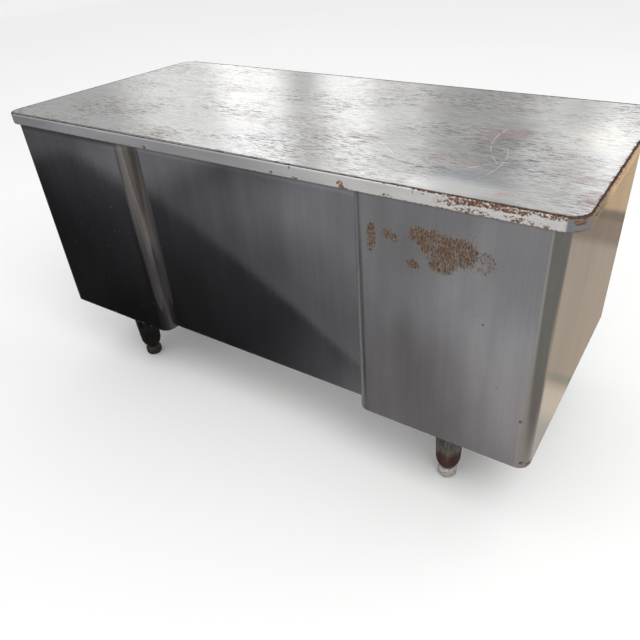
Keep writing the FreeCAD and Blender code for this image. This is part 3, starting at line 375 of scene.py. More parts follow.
# ------------------------------------------------------------------ worktop
def worktop():
    g = Graph("worktop_ground_steel")
    x, y, z = g.split()
    bend = g.noise((5, 16, 5), 3, 0.5, (2, 2, 0), color=True)
    warped = g.new("ShaderNodeVectorMath", operation="MULTIPLY_ADD")
    g.put(warped.inputs[0], bend)
    warped.inputs[1].default_value = (0.03, 0.014, 0)
    g.put(warped.inputs[2], g.xyz)
    w = warped.outputs[0]
    fine = g.noise((30, 900, 100), 2, 0.6, (0, 3, 0))
    streak = g.noise((24, 260, 60), 4, 0.62, (4, 0, 0), of=w)
    fleck = g.noise((34, 235, 60), 6, 0.74, (9, 5, 0), of=w)
    fleck2 = g.noise((64, 470, 60), 3, 0.6, (2, 7, 0), of=w)
    wide = g.noise((4.0, 30, 10), 4, 0.6, (1, 8, 0), of=w)
    cloud = g.noise((4.5, 7.0, 5), 4, 0.55, (3, 3, 0))
    patch = g.noise((7.5, 13.0, 5), 4, 0.6, (6.4, 1.2, 0))
    value = g.add(1.0, g.mul(g.sub(fine, 0.5), 0.12), g.mul(g.sub(streak, 0.5), 0.45), g.mul(g.sub(wide, 0.5), 0.35), g.mul(g.sub(cloud, 0.5), 0.35))
    lit = None
    for cx, cy, rx, ry, k in (
        (0.68, 0.06, 0.10, 0.16, 0.46), (0.73, -0.10, 0.03, 0.12, 0.20), (0.51, -0.305, 0.10, 0.045, 0.84), (0.285, -0.11, 0.06, 0.10, -0.12), (0.385, -0.30, 0.05, 0.03, 0.20), (-0.02, -0.28, 0.04, 0.05, 0.06),
        (0.215, -0.26, 0.085, 0.10, -0.14), (0.212, -0.15, 0.03, 0.04, 0.10), (0.14, -0.18, 0.05, 0.12, -0.18), (0.33, -0.29, 0.08, 0.06, -0.08), (0.50, -0.02, 0.055, 0.13, -0.30), (0.545, -0.17, 0.045, 0.06, -0.26), (0.69, -0.26, 0.09, 0.09, -0.09), (0.655, 0.04, 0.05, 0.06, 0.10), (-0.22, -0.31, 0.06, 0.04, -0.24), (0.05, -0.18, 0.16, 0.14, -0.08),
    ):
        s = g.mul(g.spot((cx, cy, 0.762), (rx, ry, 1), 0.0, 0.05, 1.35, "Z"), k)
        lit = s if lit is None else g.add(lit, s)
    color = g.grey(g.mul(value, g.mul(g.add(1.0, lit), 0.68)), (0.995, 0.998, 1.004))
    lit = g.math("MAXIMUM", lit, 0.0)
    # dark flecks drawn out along the grinding direction
    worn = g.step(g.add(cloud, g.mul(g.step(x, -0.2, 0.5), 0.05)), 0.40, 0.62)
    f = g.mul(g.mx(g.step(fleck, 0.525, 0.585), g.mul(g.step(fleck2, 0.55, 0.63), 0.8)), g.add(0.28, g.mul(worn, 0.76)), g.sub(1.0, g.mul(lit, 0.8)))
    color = g.mix(f, color, (0.185, 0.150, 0.135))
    pale = g.mul(g.step(g.noise((40, 330, 60), 5, 0.70, (19, 2, 0), of=w), 0.56, 0.63), 0.62)
    color = g.mix(pale, color, (0.88, 0.885, 0.895))
    # reddish and brown stains
    stain = g.mul(g.step(patch, 0.53, 0.70), g.step(x, -0.35, 0.35, 0.35, 1.0))
    here = None
    for c, rad, k in (
        ((0.45, -0.02, 0.762), (0.05, 0.045, 1), 0.8), ((0.49, 0.01, 0.762), (0.07, 0.05, 1), 1.0), ((0.52, 0.03, 0.762), (0.05, 0.04, 1), 0.9),
        ((0.494, -0.193, 0.762), (0.045, 0.022, 1), 0.8), ((0.442, -0.188, 0.762), (0.06, 0.028, 1), 0.7), ((0.60, -0.30, 0.762), (0.03, 0.014, 1), 0.9),
        ((0.727, -0.26, 0.762), (0.03, 0.05, 1), 0.8), ((0.698, -0.178, 0.762), (0.05, 0.03, 1), 0.5), ((0.65, -0.159, 0.762), (0.05, 0.03, 1), 0.5),
        ((-0.30, 0.10, 0.762), (0.08, 0.05, 1), 0.4), ((0.10, 0.22, 0.762), (0.10, 0.05, 1), 0.5),
    ):
        s = g.mul(g.spot(c, rad, 0.0, 0.3, 1.0, "Z"), k)
        here = s if here is None else g.mx(here, s)
    ragged = g.step(g.noise((36, 150, 20), 5, 0.70, (5, 5, 5), of=w), 0.36, 0.58)
    stain = g.mx(g.mul(stain, 0.55), g.mul(here, ragged))
    color = g.mix(g.mul(stain, 0.80), color, g.mix(0.55, (0.38, 0.225, 0.20), color, "MULTIPLY"))
    blotchy = g.step(g.noise((20, 46, 20), 4, 0.66, (3, 9, 5), of=w), 0.30, 0.58, 0.35, 1.25)
    for c, rad, tint_, k in (
        ((0.51, -0.255, 0.762), (0.07, 0.05, 1), (0.90, 0.95, 1.0), 0.7), ((0.575, -0.155, 0.762), (0.06, 0.035, 1), (0.91, 0.95, 1.0), 0.6), ((0.02, -0.23, 0.762), (0.07, 0.08, 1), (0.91, 0.96, 1.0), 0.6),
        ((0.66, 0.05, 0.762), (0.06, 0.12, 1), (1.0, 0.98, 0.88), 0.7), ((-0.215, -0.300, 0.762), (0.045, 0.035, 1), (0.88, 0.76, 0.64), 0.75),
    ):
        color = g.mix(g.mul(g.spot(c, rad, 0.0, 0.1, 1.3, "Z"), blotchy, k), color, g.mix(1.0, color, tint_, "MULTIPLY"))
    # rust that creeps in from the groove
    edge = g.mx(g.step(y, -0.337, -0.331, 1.0, 0.0), g.step(x, 0.735, 0.7405), g.step(y, 0.331, 0.337), g.step(x, -0.7405, -0.735, 1.0, 0.0))
    creep = g.mul(edge, g.step(g.noise((60, 60, 60), 4, 0.65, (8, 1, 3)), 0.46, 0.60))
    wander = g.mul(g.sub(g.noise((70, 70, 10), 3, 0.6, (1, 1, 1)), 0.5), 0.0022)
    yw, xw = g.add(y, wander), g.add(x, wander)
    far = g.mul(g.step(x, -0.3, 0.5, 1.0, 0.0), 0.0056)
    rim = g.mx(g.step(g.sub(yw, far), -0.3348, -0.3325, 1.0, 0.0), g.step(xw, 0.7392, 0.7402), g.step(yw, 0.3338, 0.3355), g.step(xw, -0.7395, -0.7380, 1.0, 0.0))
    # scratches
    wob = g.mul(g.sub(g.noise(26, 2), 0.5), 0.004)
    lines = g.mx(
        g.arc(0.742, -0.001, 0.262, 0.0014, 0.47, 0.55, -0.165, 0.045),
        g.arc(0.665, -0.320, 0.202, 0.0013, 0.49, 0.60, -0.225, -0.10),
        g.arc(0.320, -0.172, 0.226, 0.0013, 0.50, 0.56, -0.285, -0.07),
        g.arc(0.10, -0.40, 0.31, 0.0009, 0.18, 0.36, -0.20, -0.08),
        g.arc(-0.35, 0.42, 0.40, 0.0009, -0.40, -0.05, 0.02, 0.20),
    )
    hair = g.cells((3.1, 5.2, 1), loc=(0.7, 0.2, 0), of=w)
    hair = g.mul(g.step(hair, 0.0, 0.006, 1.0, 0.0), g.step(g.noise(7, 2, 0.5, (3, 8, 0)), 0.52, 0.60))
    lines = g.mx(g.mul(lines, g.step(g.noise(60, 2), 0.36, 0.5)), g.mul(hair, 0.6))
    color = g.mix(g.mul(lines, 0.8), color, (0.9, 0.9, 0.88))
    rust = g.mx(creep, g.mul(g.step(g.noise((90, 260, 60), 4, 0.6, (31, 2, 0), of=w), 0.72, 0.76), 0.8))
    color = g.mix(rust, color, rust_color(g, 260))
    color = g.mix(g.mul(rim, 0.93), color, g.mix(g.step(x, 0.1, 0.6), (0.036, 0.026, 0.020), (0.058, 0.026, 0.013)))
    r = g.add(0.20, g.mul(g.sub(cloud, 0.5), 0.16), g.mul(f, 0.16), g.mul(stain, 0.22), g.mul(g.sub(wide, 0.5), 0.08))
    r = g.lerp(rust, r, 0.85)
    metal = g.math("SUBTRACT", 1.0, g.mx(g.add(g.mul(rust, 0.9), g.mul(stain, 0.35)), g.mul(rim, 0.9)), clamp=True)
    n1 = g.bump(g.noise((3, 3.5, 3), 2, 0.5, (4, 1, 1)), 0.25, 0.003)
    n2 = g.bump(g.add(g.mul(streak, 0.6), g.mul(fine, 0.3), g.mul(lines, 0.8)), 0.12, 0.0005, n1)
    return g.finish(color, metal, r, n2)


# ------------------------------------------------------------------ edge band
def band():
    g = Graph("band_worn_steel")
    x, y, z = g.split()
    fine = g.noise((26, 26, 500), 3, 0.6, (2, 1, 0))
    blot = g.noise((9, 9, 60), 4, 0.6, (6, 4, 0))
    smear = g.noise((3, 3, 14), 3, 0.5, (1, 7, 2))
    toward = g.step(x, -0.45, 0.60, 0.0, 1.0)
    # painted light: the band is darker towards the left end and brighter towards the right
    base = g.add(0.42, g.mul(g.step(x, -0.75, -0.4), 0.04), g.mul(g.step(x, -0.65, -0.45), 0.09), g.mul(g.step(x, -0.38, -0.15), -0.04), g.mul(g.step(x, 0.0, 0.17), 0.16), g.mul(g.step(x, 0.08, 0.34), 0.19))
    value = g.mul(base, g.add(1.0, g.mul(g.sub(fine, 0.5), 0.14), g.mul(g.sub(blot, 0.5), 0.30), g.mul(g.sub(smear, 0.5), 0.25)))
    color = g.mix(toward, g.grey(value, (0.985, 0.99, 1.02)), g.grey(value, (1.0, 0.985, 0.965)))
    # painted reflection: the rounded end is a dark bluish grey and the short side brown and tan, both made less
    # metallic
    bend = g.mul(g.step(x, 0.7110, 0.7160), g.step(y, -0.25, -0.29))
    color = g.mix(bend, color, g.grey(g.add(0.185, g.mul(g.sub(fine, 0.5), 0.10)), (1.0, 0.99, 1.09)))
    end = g.mul(g.step(x, 0.7415, 0.7440), g.step(y, -0.325, -0.300))
    color = g.mix(end, color, g.mix(g.step(y, -0.24, -0.16), (0.255, 0.190, 0.140), (0.62, 0.43, 0.28)))
    painted_shade_and_reflection = g.mx(bend, end)
    color = g.mix(g.mul(g.step(z, 0.7365, 0.7385, 1.0, 0.0), 0.75), color, (0.045, 0.036, 0.032))
    # rust chips: dense along the edges and at the worn end
    dense = None
    for c, rad, k in (
        ((0.560, -0.343, 0.757), (0.105, 0.05, 0.012), 1.0), ((0.620, -0.343, 0.757), (0.080, 0.05, 0.012), 1.0), ((0.560, -0.343, 0.742), (0.060, 0.05, 0.012), 0.86), ((0.640, -0.343, 0.743), (0.050, 0.05, 0.010), 0.84), ((0.512, -0.343, 0.750), (0.045, 0.05, 0.012), 0.84),
        ((0.690, -0.343, 0.758), (0.050, 0.05, 0.009), 0.95), ((0.675, -0.343, 0.741), (0.030, 0.05, 0.007), 0.8), ((0.734, -0.332, 0.754), (0.018, 0.03, 0.011), 1.08),
        ((0.302, -0.343, 0.745), (0.016, 0.05, 0.016), 0.95), ((0.310, -0.343, 0.738), (0.030, 0.05, 0.006), 0.9), ((0.199, -0.343, 0.739), (0.018, 0.05, 0.006), 0.95), ((0.187, -0.343, 0.758), (0.008, 0.05, 0.008), 0.75),
        ((0.139, -0.343, 0.741), (0.010, 0.05, 0.007), 0.95), ((-0.221, -0.343, 0.742), (0.012, 0.05, 0.008), 1.0), ((0.400, -0.343, 0.741), (0.028, 0.05, 0.007), 0.82),
        ((0.46, -0.343, 0.757), (0.03, 0.05, 0.006), 0.75), ((0.744, -0.28, 0.752), (0.02, 0.07, 0.013), 0.9), ((0.746, -0.10, 0.755), (0.02, 0.12, 0.010), 0.8),
        ((0.746, 0.16, 0.752), (0.02, 0.10, 0.012), 0.75), ((-0.746, 0.1, 0.752), (0.02, 0.20, 0.010), 0.7), ((0.1, 0.343, 0.755), (0.30, 0.05, 0.010), 0.72), ((-0.45, 0.343, 0.745), (0.12, 0.05, 0.012), 0.75),
    ):
        s = g.mul(g.spot(c, rad, 0.0, 0.25, 1.05), k)
        dense = s if dense is None else g.mx(dense, s)
    lip = g.step(z, 0.7597, 0.7610)
    low = g.step(z, 0.7385, 0.7405, 1.0, 0.0)
    dense = g.mx(dense, g.mul(lip, g.add(0.40, g.mul(g.step(x, 0.30, 0.52), 0.62))), g.mul(low, g.add(0.52, g.mul(g.step(x, 0.30, 0.52), 0.28))))
    flake = g.noise((120, 120, 210), 5, 0.70, (12, 3, 7), dist=0.6)
    mask = g.step(g.sub(flake, g.sub(0.80, g.mul(dense, 0.36))), 0.0, 0.014)
    color = g.mix(mask, color, rust_color(g, 300, RUST_CHIP))
    halo = g.step(g.sub(flake, g.sub(0.765, g.mul(dense, 0.36))), 0.0, 0.05)
    color = g.mix(g.mul(halo, g.inv(mask), 0.42), color, (0.34, 0.235, 0.175))
    inner = g.mul(g.step(y, -0.3412, -0.3406), g.step(y, 0.3406, 0.3412, 1.0, 0.0), g.step(x, -0.7442, -0.7436), g.step(x, 0.7436, 0.7442, 1.0, 0.0), g.step(z, 0.7585, 0.7600))
    color = g.mix(g.mul(inner, 0.92), color, g.mix(g.step(x, 0.1, 0.6), (0.034, 0.025, 0.020), (0.055, 0.024, 0.012)))
    r = g.lerp(mask, g.add(0.36, g.mul(g.sub(blot, 0.5), 0.2)), 0.85)
    metal = g.math("SUBTRACT", 0.72, g.mx(g.mul(mask, 0.68), g.mul(inner, 0.7), g.mul(painted_shade_and_reflection, 0.40)), clamp=True)
    n1 = g.bump(g.noise((3, 3, 20), 2), 0.2, 0.002)
    n2 = g.bump(g.add(g.mul(fine, 0.3), g.mul(mask, -1.0)), 0.25, 0.0006, n1)
    return g.finish(color, metal, r, n2)


# ------------------------------------------------------------------ other materials
def leg_metal(name="leg_rusty_steel", shade=1.0):
    g = Graph(name)
    x, y, z = g.split()
    n1 = g.noise((60, 60, 18), 4, 0.6, (3, 3, 0))
    n2 = g.noise((240, 240, 160), 3, 0.6)
    line = g.noise((30, 30, 900), 2, 0.5)
    bright = g.grey(g.mul(g.add(0.60, g.mul(n1, 0.7), g.mul(line, 0.15)), 0.33 * shade), (1.0, 0.96, 0.90))
    height = g.add(z, g.mul(g.sub(n1, 0.5), 0.055))
    rust = g.mx(g.step(height, 0.080, 0.118, 1.0, 0.0), g.mul(g.step(g.noise((70, 70, 16), 4, 0.65, (8, 1, 0)), 0.50, 0.62), 0.8))
    color = g.mix(rust, bright, g.ramp(g.add(g.mul(n2, 0.6), g.mul(n1, 0.4)), *[(p_, tuple(c * shade for c in k)) for p_, k in ((0.30, (0.020, 0.010, 0.007)), (0.5, (0.062, 0.029, 0.018)), (0.68, (0.145, 0.075, 0.045)))]))
    rim = g.step(z, 0.0400, 0.0440, 1.0, 0.0)
    color = g.mix(g.mul(rim, 0.85), color, (0.03, 0.016, 0.010))
    r = g.lerp(rust, g.add(0.24, g.mul(n2, 0.1)), g.add(0.42, g.mul(n2, 0.2)))
    metal = g.math("SUBTRACT", 1.0, g.mul(rust, 0.72), clamp=True)
    nrm = g.bump(g.add(g.mul(n2, g.add(0.2, rust)), g.mul(line, 0.1)), 0.25, 0.0006)
    return g.finish(color, metal, r, nrm)


def nickel(name="glide_worn_nickel", shade=1.0):
    g = Graph(name)
    n1 = g.noise((120, 120, 90), 4, 0.6)
    n2 = g.noise((30, 30, 700), 2, 0.5)
    x, y, z = g.split()
    color = g.grey(g.mul(g.add(0.55, g.mul(n1, 0.6), g.mul(n2, 0.12)), 0.70 * shade), (1.0, 0.965, 0.91))
    pit = g.step(g.noise((300, 300, 300), 3, 0.65, (3, 3, 3)), 0.47, 0.60)
    color = g.mix(g.mul(pit, 0.68), color, (0.17 * shade, 0.14 * shade, 0.115 * shade))
    dirt = g.mx(g.step(n1, 0.60, 0.70), g.mul(g.step(z, 0.003, 0.0055, 1.0, 0.0), 0.8))
    color = g.mix(g.mul(dirt, 0.75), color, (0.16 * shade, 0.105 * shade, 0.065 * shade))
    r = g.add(0.40, g.mul(dirt, 0.3), g.mul(n2, 0.06))
    metal = g.math("SUBTRACT", 0.55, g.mul(dirt, 0.4), clamp=True)
    return g.finish(color, metal, r, g.bump(g.add(n1, g.mul(n2, 0.3)), 0.15, 0.0004))


def enamel():
    g = Graph("worn_enamel")
    n1 = g.noise(7, 4, 0.6)
    n2 = g.noise(140, 4, 0.65, (4, 4, 4))
    peel = g.noise(900, 2)
    color = g.mix(g.step(n1, 0.3, 0.7), (0.235, 0.265, 0.245), (0.315, 0.340, 0.315))
    scuff = g.mul(g.step(n2, 0.60, 0.66), g.step(n1, 0.35, 0.6))
    color = g.mix(g.mul(scuff, 0.7), color, (0.42, 0.42, 0.41))
    spot = g.step(g.noise(65, 3, 0.6, (7, 1, 9)), 0.70, 0.74)
    color = g.mix(spot, color, RUST_MID)
    r = g.add(0.40, g.mul(g.sub(n1, 0.5), 0.2), g.mul(spot, 0.3))
    return g.finish(color, g.mul(scuff, 0.6), r, g.bump(g.add(g.mul(peel, 0.6), g.mul(scuff, -0.6)), 0.12, 0.0005))


def slide_metal():
    g = Graph("greased_slide_steel")
    n1 = g.noise((300, 6, 300), 3, 0.6)
    n2 = g.noise((26, 9, 26), 4, 0.6, (3, 1, 1))
    color = g.grey(g.mul(g.add(0.66, g.mul(n1, 0.35), g.mul(n2, 0.35)), 0.46), (1, 0.985, 0.955))
    grease = g.step(n2, 0.52, 0.66)
    color = g.mix(g.mul(grease, 0.6), color, (0.075, 0.060, 0.042))
    r = g.add(0.34, g.mul(n2, 0.12), g.mul(grease, -0.08))
    return g.finish(color, g.math("SUBTRACT", 1.0, g.mul(grease, 0.4), clamp=True), r, g.bump(n1, 0.1, 0.0004))


def satin_aluminium():
    g = Graph("satin_aluminium")
    n1 = g.noise((18, 420, 420), 3, 0.6)
    n2 = g.noise(60, 4, 0.6, (1, 2, 3))
    color = g.grey(g.mul(g.add(0.84, g.mul(n1, 0.2), g.mul(n2, 0.12)), 0.74), (1, 1, 0.985))
    nick = g.step(g.noise(260, 3, 0.6, (9, 9, 2)), 0.70, 0.76)
    color = g.mix(g.mul(nick, 0.6), color, (0.30, 0.29, 0.28))
    r = g.add(0.24, g.mul(n1, 0.12), g.mul(nick, 0.25))
    return g.finish(color, 1.0, r, g.bump(g.add(n1, g.mul(nick, -0.5)), 0.12, 0.0004))


def chrome():
    g = Graph("lock_bright_plate")
    n1 = g.noise((700, 700, 700), 2, 0.6)
    n2 = g.noise(180, 4, 0.6)
    color = g.grey(g.mul(g.add(0.90, g.mul(n2, 0.2)), 0.72), (1, 0.995, 0.98))
    r = g.add(0.10, g.mul(n1, 0.08), g.mul(g.step(n2, 0.58, 0.7), 0.3))
    return g.finish(color, 1.0, r, g.bump(n2, 0.05, 0.0003))


def zinc():
    g = Graph("zinc_plate")
    n2 = g.noise(210, 4, 0.6)
    color = g.mix(g.step(n2, 0.35, 0.65), (0.50, 0.50, 0.46), (0.66, 0.66, 0.64))
    white = g.step(g.noise(90, 3, 0.6, (2, 2, 2)), 0.60, 0.72)
    color = g.mix(g.mul(white, 0.5), color, (0.72, 0.72, 0.70))
    return g.finish(color, g.math("SUBTRACT", 1.0, g.mul(white, 0.5), clamp=True), g.add(0.30, g.mul(white, 0.35)), g.bump(n2, 0.1, 0.0003))


def hardboard():
    g = Graph("core_hardboard")
    n1 = g.noise(420, 4, 0.7)
    n2 = g.noise(24, 3, 0.6)
    color = g.ramp(g.add(g.mul(n1, 0.6), g.mul(n2, 0.4)), (0.30, (0.016, 0.010, 0.008)), (0.55, (0.055, 0.026, 0.016)), (0.75, (0.13, 0.060, 0.034)))
    return g.finish(color, 0.0, g.add(0.75, g.mul(n1, 0.15)), g.bump(n1, 0.4, 0.0008))


def plywood():
    g = Graph("varnished_plywood")
    w = g.noise((3, 9, 3), 3, 0.5, (1, 1, 1), color=True)
    v = g.new("ShaderNodeVectorMath", operation="MULTIPLY_ADD")
    g.put(v.inputs[0], w)
    v.inputs[1].default_value = (0.02, 0.05, 0.02)
    g.put(v.inputs[2], g.xyz)
    grain = g.noise((120, 7, 120), 5, 0.65, (3, 1, 2), of=v.outputs[0])
    pore = g.noise((900, 28, 900), 2, 0.5, (5, 5, 5))
    color = g.ramp(grain, (0.30, (0.16, 0.080, 0.036)), (0.5, (0.36, 0.205, 0.105)), (0.70, (0.52, 0.335, 0.19)))
    x, y, z = g.split()
    ply = g.math("FRACT", g.mul(z, 333.0))
    color = g.mix(g.step(pore, 0.60, 0.68), color, (0.12, 0.062, 0.030))
    r = g.add(0.30, g.mul(grain, 0.15), g.mul(pore, 0.1))
    return g.finish(color, 0.0, r, g.bump(g.add(grain, g.mul(pore, -0.6)), 0.12, 0.0005), Coat_Weight=0.35, Coat_Roughness=0.18)


def moulded():
    g = Graph("moulded_plastic")
    n1 = g.noise(520, 3, 0.6)
    n2 = g.noise(14, 3, 0.5)
    color = g.mix(g.step(n2, 0.3, 0.7), (0.030, 0.030, 0.033), (0.058, 0.058, 0.062))
    dust = g.step(g.noise(120, 4, 0.65, (4, 4, 1)), 0.60, 0.72)
    color = g.mix(g.mul(dust, 0.30), color, (0.18, 0.17, 0.155))
    return g.finish(color, 0.0, g.add(0.42, g.mul(n1, 0.12), g.mul(dust, 0.15)), g.bump(n1, 0.35, 0.0004))


MATERIALS = {
    "worksurface_steel": worktop(),
    "band_steel": band(),
    "front_steel": fronts,
    "inner_paint": enamel(),
    "slide_steel": slide_metal(),
    "leg_steel": leg_metal(),
    "glide_nickel": nickel(),
    "pull_aluminium": satin_aluminium(),
    "lock_chrome": chrome(),
    "core_board": hardboard(),
    "board_wood": plywood(),
    "pencil_plastic": moulded(),
    "zinc_screws": zinc(),
}
# painted shade: darker copies of the leg and glide materials for the two left legs and glides
shaded_leg, shaded_foot = leg_metal("leg_steel_painted_shade", 0.16), nickel("glide_nickel_painted_shade", 0.08)
BY_NODE = {"left_rear_leg": shaded_leg, "left_front_leg": shaded_leg, "left_rear_glide": shaded_foot, "left_front_glide": shaded_foot, "left_case_shell": left_case, "right_case_shell": right_case, "modesty_panel": modesty, "left_case_base_pan": base_pan, "right_case_base_pan": base_pan}
SLOT = {s["node"]: s["material_slot"] for s in frame["record"]["subparts"]}


def dress(o, mat):
    if o.material_slots:
        for s in o.material_slots:
            s.material = mat
    else:
        o.data.materials.append(mat)


for name, o in N.items():
    dress(o, BY_NODE.get(name) or MATERIALS[SLOT[name]])


# ------------------------------------------------------------------ edge band: a rolled profile swept round the top
def round_rect(x1, y1, radius, corner=14, run=26):
    """Points and outward directions round a rectangle centred on the origin, counter-clockwise."""
    pts = []
    for cx, cy, a0 in ((x1 - radius, -y1 + radius, -90), (x1 - radius, y1 - radius, 0), (-x1 + radius, y1 - radius, 90), (-x1 + radius, -y1 + radius, 180)):
        for k in range(corner + 1):
            a = math.radians(a0 + 90 * k / corner)
            pts.append((cx, cy, math.cos(a), math.sin(a), radius))
    out = []
    n = len(pts)
    for i in range(n):
        out.append(pts[i])
        a, b = pts[i], pts[(i + 1) % n]
        if (i + 1) % (corner + 1) == 0:
            for k in range(1, run):
                t = k / run
                out.append((a[0] + (b[0] - a[0]) * t, a[1] + (b[1] - a[1]) * t, a[2], a[3], radius))
    return out


def mesh_object(name, verts, faces, mat, body, smooth=True):
    me = bpy.data.meshes.new(name)
    me.from_pydata(verts, [], faces)
    bm = bmesh.new()
    bm.from_mesh(me)
    bmesh.ops.recalc_face_normals(bm, faces=bm.faces)
    bm.to_mesh(me)
    bm.free()
    o = bpy.data.objects.new(name, me)
    scene.collection.objects.link(o)
    o.data.materials.append(mat)
    if smooth:
        me.polygons.foreach_set("use_smooth", [True] * len(me.polygons))
        me.set_sharp_from_angle(angle=math.radians(35))
    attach(o, body)
    return o


def make_band():
    lo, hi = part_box("top_edge_band")
    z0, z1 = lo.z, hi.z
    x1, y1 = hi.x, hi.y
    r, t = 0.045, 0.0015

    def arc(cx, cz, rad, a0, a1, n):
        return [(cx + rad * math.cos(math.radians(a0 + (a1 - a0) * k / n)), cz + rad * math.sin(math.radians(a0 + (a1 - a0) * k / n))) for k in range(n + 1)]

    # (inset from the outline, height): outside first, from the flange's inner edge round to the lip, then back inside
    ro, ri = 0.0026, 0.0011
    prof = [(0.025, z0), (0.012, z0)]
    prof += [(ro - c, z0 + ro - 0 + s) for c, s in [(ro * math.cos(math.radians(a)), -ro * math.sin(math.radians(a))) for a in (90, 70, 50, 30, 12, 0)]]
    prof += [(0.0, z0 + 0.007), (-0.0, z0 + 0.013), (0.0, z1 - 0.007)]
    prof += [(ro - ro * math.cos(math.radians(a)), z1 - ro + ro * math.sin(math.radians(a))) for a in (0, 15, 32, 50, 68, 84, 90)]
    prof += [(0.0030, z1 - 0.0001), (0.00315, z1 - 0.0006), (0.0031, z1 - t)]
    prof += [(0.0022, z1 - t), (t, z1 - 0.0030), (t, z0 + 0.0030), (0.0024, z0 + t), (0.012, z0 + t), (0.025, z0 + t)]
    ring = round_rect(x1, y1, r)
    verts, faces = [], []
    m_ = len(prof)
    for cx, cy, nx, ny, rad in ring:
        for k, (inset, z) in enumerate(prof):
            # the sheet is a little uneven along its length, always inwards
            wob = 0.00022 * (0.5 + 0.5 * mnoise.noise(Vector((cx * 9 + nx, cy * 9 + ny, z * 40)))) if 0.0 <= inset < 0.004 else 0.0
            d = rad - inset - wob
            verts.append((cx + nx * d, cy + ny * d, z))
    n = len(ring)
    for i in range(n):
        j = (i + 1) % n
        for k in range(m_):
            l = (k + 1) % m_
            faces.append((i * m_ + k, j * m_ + k, j * m_ + l, i * m_ + l))
    o = mesh_object("edge_band_rolled", verts, faces, MATERIALS["band_steel"], "desk_frame")
    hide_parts("top_edge_band")
    return o


make_band()


# ------------------------------------------------------------------ stage
def plane(name, x0, x1, y0, y1, z):
    me = bpy.data.meshes.new(name)
    me.from_pydata([(x0, y0, z), (x1, y0, z), (x1, y1, z), (x0, y1, z)], [], [(0, 1, 2, 3)])
    o = bpy.data.objects.new(name, me)
    scene.collection.objects.link(o)
    return o


def card_material(name, build):
    g = Graph(name)
    out = g.t.nodes["Material Output"]
    g.t.nodes.remove(g.p)
    e = g.new("ShaderNodeEmission")
    color, strength = build(g)
    g.put(e.inputs[0], color)
    g.put(e.inputs[1], strength)
    g.t.links.new(e.outputs[0], out.inputs[0])
    return g.m


def only_glossy(o):
    o.visible_camera = False
    o.visible_diffuse = False
    o.visible_shadow = False
    o.visible_transmission = False
    o.visible_volume_scatter = False


floor = plane("floor", -40, 40, -40, 40, 0.0)
fg = Graph("floor_pale")
fn = fg.noise(0.8, 3, 0.5)
floor.data.materials.append(fg.finish(fg.mix(fn, (0.86, 0.86, 0.855), (0.88, 0.88, 0.875)), 0.0, fg.add(0.75, fg.mul(fn, 0.1))))
floor.visible_glossy = False


